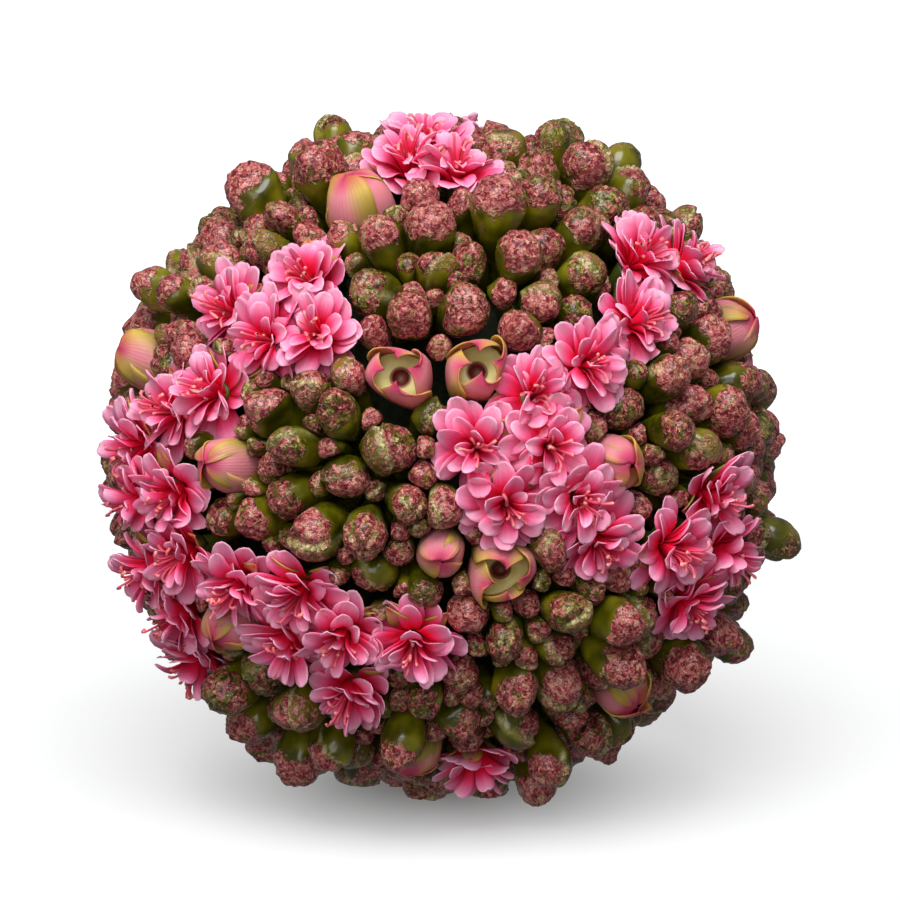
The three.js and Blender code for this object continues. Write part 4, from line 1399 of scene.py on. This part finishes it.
# %% The cup's sepals and its floor
SEPALS = 4
OPEN_LINE = ((1.0, 50.0), (7.2, 55.0), (9.8, 66.4), (2.9, 67.8))
CLOSED_LINE = ((1.0, 50.0), (7.8, 55.0), (8.8, 67.0), (0.3, 69.0))
OPEN_CUPS = ("cup_left_of_pair", "cup_right_of_pair", "cup_below_centre")
CENTRE_OF_CUP = 58.0
COMMON_CUP_REACH = 6.5
SEPAL_STEPS = np.array((0, 0.12, 0.24, 0.36, 0.46, 0.54, 0.62, 0.69, 0.76, 0.82, 0.88, 0.93, 0.97, 1.0))
SEPAL_COLUMNS = np.linspace(-1, 1, 13)
OPEN_HALF_ANGLES = (
    (0, 54), (0.46, 56), (0.6, 58), (0.72, 57), (0.82, 50), (0.90, 38), (0.96, 22), (1.0, 4),
)
CLOSED_HALF_ANGLES = ((0, 54), (0.5, 58), (0.66, 62), (0.8, 66), (0.9, 72), (0.96, 76), (1.0, 70))
OPEN_LAP, CLOSED_LAP, LAP_AT_FOOT = 1.3, 0.45, 0.4
OPEN_FLARE, CLOSED_FLARE = (0.0, 1.2), (0.2, 1.8)
OPEN_UNEVEN, CLOSED_UNEVEN, EDGE_UNEVEN = 0.4, 1.2, 0.5
LATE_FROM, LATE_TO = 0.5, 0.95
LEAST_RIPE, MOST_RIPE = -0.5, 0.9
CUP_FLOOR = [
    (0, 55), (2.5, 55.4), (5.4, 60.6), (5.7, 62.6), (5.2, 62.3), (3.6, 61.9), (2.3, 61.6), (1.9, 61.8),
    (1.7, 61.8), (1.5, 61.6), (1.4, 61.0), (1.3, 60.4), (0, 60.4),
]
HOLE_FROM = 7
CUP_FOOT = [(0, SEAT_RADIUS), (0.9, SEAT_RADIUS + 1), (1.1, 50.5), (2.4, 54), (0, 55.5)]
FLOOR_SIDES, FOOT_SIDES = 24, 12


def cubic(points, t):
    a, b, c, d = (np.array(p) for p in points)
    t = t[:, None]
    return (1 - t) ** 3 * a + 3 * t * (1 - t) ** 2 * b + 3 * t**2 * (1 - t) * c + t**3 * d


def is_open(owner):
    return owner["node"].removeprefix("far_") in OPEN_CUPS


def sepal(owner, angle, walls, draw, size=1.0):
    s, u = SEPAL_STEPS, SEPAL_COLUMNS
    opened = is_open(owner)
    line = cubic(OPEN_LINE if opened else CLOSED_LINE, s)
    half = np.radians(smooth_outline(OPEN_HALF_ANGLES if opened else CLOSED_HALF_ANGLES, s))
    turn = angle + half[:, None] * u
    flare = between(draw, *(OPEN_FLARE if opened else CLOSED_FLARE))
    late = smooth_step(LATE_FROM, LATE_TO, s)[:, None]
    lap = (OPEN_LAP if opened else CLOSED_LAP) * (LAP_AT_FOOT + (1 - LAP_AT_FOOT) * late)
    radius = line[:, :1] + lap * u + flare * late * np.abs(u) ** 3
    up = line[:, 1:] + spread(draw, OPEN_UNEVEN if opened else CLOSED_UNEVEN) * late
    up = up + EDGE_UNEVEN * late * u**2 * spread(draw, 1.0)
    radius, up = radius * size, CENTRE_OF_CUP + (up - CENTRE_OF_CUP) * min(size, 1.0)
    sheet = placed(owner, radius * np.cos(turn), radius * np.sin(turn), up)
    marks = {"along": s[:, None], "across": u[None], "ripe": between(draw, LEAST_RIPE, MOST_RIPE)}
    return pressed_in(owner, sheet, walls), False, marks


def cup_sheets(owner, walls, draw):
    roll = next(draw) * 2 * math.pi
    size = owner["reach"] / COMMON_CUP_REACH
    return [sepal(owner, roll + index * math.pi / 2, walls, draw, size) for index in range(SEPALS)]


def cup_floor(owner, walls):
    rings = np.zeros((len(CUP_FLOOR), 1))
    rings[HOLE_FROM:] = 1.0
    skin = turned(owner, CUP_FLOOR, FLOOR_SIDES)
    return pressed_in(owner, skin, walls), True, {"hole": rings, "floor": 1.0}


def cup_foot(owner):
    return turned(owner, CUP_FOOT, FOOT_SIDES), True, {}


print("sepals in a cup:", SEPALS)

# %% [markdown]
# A blossom is its four rings of petals, three calyx tips that peep out between them, and its
# filaments. The cloth pieces get a Solidify modifier, and the moulded ones are closed
# skins already.

# %% Make the bunches and the cups
CLOTH = 0.15
SEPAL_CLOTH = 0.26
PICK_TOP_RADIUS = 49.3
OVERLAP_IN_BUNCH = 6.0
BEYOND_BUNCH = 2.4
CALYX_TIPS = 3
TIP_PLACES = 5
LEAST_RIPE_TIP, MOST_RIPE_TIP = 0.5, 1.2
PETAL_SEED = 5


def floret_sheets(owner, walls, draw):
    roll = next(draws(owner["seed"])) * 2 * math.pi
    petals = []
    for form, count, turn, disorder in RINGS:
        for index in range(count):
            angle = roll + (index + turn) * 2 * math.pi / count
            petals.append(petal(owner, form, angle, walls, draw, disorder=disorder))
    tips = []
    for _ in range(CALYX_TIPS):
        angle = roll + (math.floor(next(draw) * TIP_PLACES) + 0.5) * 2 * math.pi / TIP_PLACES
        ripe = between(draw, LEAST_RIPE_TIP, MOST_RIPE_TIP)
        tips.append(petal(owner, CALYX_TIP, angle, walls, draw, ripe=ripe))
    return petals, tips


def thicken(piece, thickness):
    solidify = piece.modifiers.new("cloth", "SOLIDIFY")
    solidify.thickness = thickness * MM
    solidify.offset = 0


def make_bunch(name):
    members = [owner for owner in owners if owner["node"] == name]
    petals, calyx, threads, moulded = [], [], [], [pick_skin(members[0], PICK_TOP_RADIUS)]
    for index, owner in enumerate(members):
        draw = draws(owner["seed"] + PETAL_SEED)
        walls = walls_of(owner, OVERLAP_IN_BUNCH, BEYOND_BUNCH)
        if owner["kind"] == "floret":
            owner["tilt"] = tilt_of(owner, draw)
            owner["raised"] = spread(draw, MOST_RAISED)
            sheets, tips = floret_sheets(owner, walls, draw)
            petals += sheets
            calyx += tips
            threads += [filament(owner, draw) for _ in range(FILAMENTS)]
            moulded.append(tube(owner))
        else:
            calyx += cup_sheets(owner, walls_of(owner), draw)
            moulded.append(cup_foot(owner))
            if is_open(owner):
                moulded.append(cup_floor(owner, walls_of(owner)))
        if index > 0:
            moulded.append(stem(owner, nearest_host(owner, members[:index])))
    if petals:
        sheets = piece_from_grids("petals_" + name, petals, ("along", "across", "tint"))
        thicken(sheets, CLOTH)
        dress(sheets, name, PETAL_SATIN)
        made = piece_from_grids("filaments_" + name, threads, ("along",))
        weld_and_face_out(made)
        dress(made, name, FILAMENT_THREAD)
    sheets = piece_from_grids("calyx_" + name, calyx, ("along", "across", "ripe"))
    thicken(sheets, SEPAL_CLOTH)
    dress(sheets, name, CALYX_CLOTH)
    made = piece_from_grids("base_" + name, moulded, ("hole", "floor"))
    weld_and_face_out(made)
    dress(made, name, CALYX_BASE)
    return len(petals), len(calyx)


names = list(dict.fromkeys(owner["node"] for owner in owners if owner["kind"] in ("floret", "cup")))
sheets_made = [make_bunch(name) for name in names]
print("petals:", sum(p for p, _ in sheets_made), "calyx sheets:", sum(c for _, c in sheets_made))

# %% [markdown]
# ## The foam ball
# It is dark green florist's foam, and it shows only as darkness between the stalks. The solid
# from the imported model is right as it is, so it only gets a material, with the cells of the
# foam as a bump. They are drawn about three times too wide, as they wouldn't show otherwise.

# %% The foam's material
FOAM_CELL, CELL_RELIEF = 1.2, 0.3
FOAM_GREEN = [(0.0, 0x0a0e04), (0.5, 0x161e0a), (1.0, 0x222c10)]


def florists_foam():
    material = new_material("green_florists_foam")
    where = node(material, "ShaderNodeTexCoord").outputs["Object"]
    cells = node(
        material, "ShaderNodeTexVoronoi", {"Vector": where, "Scale": per_mm(FOAM_CELL)}
    ).outputs["Distance"]
    colour = node(material, "ShaderNodeValToRGB", {"Fac": cells}, stops=FOAM_GREEN).outputs["Color"]
    bump = node(
        material, "ShaderNodeBump", {"Height": cells, "Strength": 0.6, "Distance": CELL_RELIEF * MM}
    )
    shader = node(material, "ShaderNodeBsdfPrincipled", {
        "Base Color": colour, "Roughness": 0.95, "Normal": bump.outputs["Normal"],
    })
    finish(material, shader)
    return material


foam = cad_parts["foam_ball"]
foam.data.materials.clear()
foam.data.materials.append(florists_foam())
print("foam slots:", [m.name for m in foam.data.materials])

# %% [markdown]
# ## Floor, light and camera
# The ball lies on a white board in a studio. The floor runs out into pure white, while the
# ball's underside is dark. So the board glows, though it is no lamp, and it throws no light back
# up at the ball. Its glow is painted light, with a painted shadow in it: a soft pool of darkness
# round the place where the ball rests. The glow rises a little further behind, as painted light
# where less of the lamps' light reaches it.

# %% The floor
FLOOR_SIZE = 12.0
BOARD_GREY, GLOW_WHITE = 0x9a9c9c, 0xffffff
PAINTED_SHADOW_RADIUS = 0.06
GLOW_IN_PAINTED_SHADOW, GLOW_BESIDE = 0.10, 0.62
FAR_FROM, FAR_TO = 0.10, 0.50
PAINTED_LIGHT_FAR_OFF = 0.35


def board_glow_with_painted_shadow():
    material = new_material("white_board_glow_and_painted_shadow")
    where = node(material, "ShaderNodeTexCoord").outputs["Object"]
    distance = node(material, "ShaderNodeVectorMath", {0: where}, operation="LENGTH").outputs["Value"]
    # The floor's glow is painted light, dimmed to a painted shadow near where the ball rests.
    painted_shadow_glow = node(
        material, "ShaderNodeMapRange",
        {"Value": distance, "From Max": PAINTED_SHADOW_RADIUS, "To Min": GLOW_IN_PAINTED_SHADOW, "To Max": GLOW_BESIDE},
        interpolation_type="SMOOTHSTEP",
    ).outputs["Result"]
    # More painted light further off, where less of the lamps' light reaches.
    painted_light_farther = node(
        material, "ShaderNodeMapRange",
        {"Value": distance, "From Min": FAR_FROM, "From Max": FAR_TO, "To Max": PAINTED_LIGHT_FAR_OFF},
    ).outputs["Result"]
    strength = node(material, "ShaderNodeMath", {0: painted_shadow_glow, 1: painted_light_farther}, operation="ADD").outputs[0]
    shader = node(material, "ShaderNodeBsdfPrincipled", {
        "Base Color": linear(BOARD_GREY), "Roughness": 0.9,
        "Emission Color": linear(GLOW_WHITE), "Emission Strength": strength,
    })
    finish(material, shader)
    return material


def make_floor():
    bpy.ops.mesh.primitive_plane_add(size=FLOOR_SIZE)
    floor = bpy.context.active_object
    floor.name = "floor"
    floor.data.materials.append(board_glow_with_painted_shadow())
    floor.visible_diffuse = False
    floor.visible_glossy = False


make_floor()
print("floor in metres:", FLOOR_SIZE)

# %% [markdown]
# The light comes from all round, with a soft key from above and a softer one from in front. The
# camera looks down on the ball by twelve degrees from a metre away, so the ball fills the view
# as it does in the photograph.

# %% Light and camera
BALL_LEFT_BY = 8
BALL_LOW_BY = 7
MM_PER_PIXEL = 0.2
VIEW_DISTANCE = 1.0
VIEW_TILT = 12.0
PIXELS = 900
ALL_ROUND = 0.20


def softbox(name, azimuth, elevation, distance, size, power):
    light = bpy.data.lights.new(name, "AREA")
    light.size = size
    light.energy = power
    lamp = bpy.data.objects.new(name, light)
    bpy.context.collection.objects.link(lamp)
    way = Vector(direction(azimuth, elevation))
    lamp.location = Vector((0, 0, CENTRE_HEIGHT * MM)) + way * distance
    lamp.rotation_euler = way.to_track_quat("Z", "Y").to_euler()


def light_all_round(strength):
    world = bpy.data.worlds.new("studio")
    world.use_nodes = True
    background = world.node_tree.nodes["Background"]
    background.inputs["Color"].default_value = (1, 1, 1, 1)
    background.inputs["Strength"].default_value = strength
    bpy.context.scene.world = world


def set_camera():
    lens = bpy.data.cameras.new("camera")
    lens.sensor_width = 36
    lens.lens = lens.sensor_width * VIEW_DISTANCE / (MM_PER_PIXEL * PIXELS * MM)
    camera = bpy.data.objects.new("camera", lens)
    bpy.context.collection.objects.link(camera)
    away = Vector(direction(0, VIEW_TILT))
    turn = away.to_track_quat("Z", "Y")
    aim = Vector((0, 0, CENTRE_HEIGHT * MM))
    aim += turn @ Vector((BALL_LEFT_BY, BALL_LOW_BY, 0)) * MM_PER_PIXEL * MM
    camera.location = aim + away * VIEW_DISTANCE
    camera.rotation_euler = turn.to_euler()
    bpy.context.scene.camera = camera


light_all_round(ALL_ROUND)
softbox("key", azimuth=-6, elevation=64, distance=1.2, size=0.8, power=19)
softbox("front", azimuth=-12, elevation=24, distance=1.6, size=1.1, power=10.5)
set_camera()
bpy.context.scene.view_settings.view_transform = "Standard"
print("lens in mm:", round(bpy.context.scene.camera.data.lens, 1))
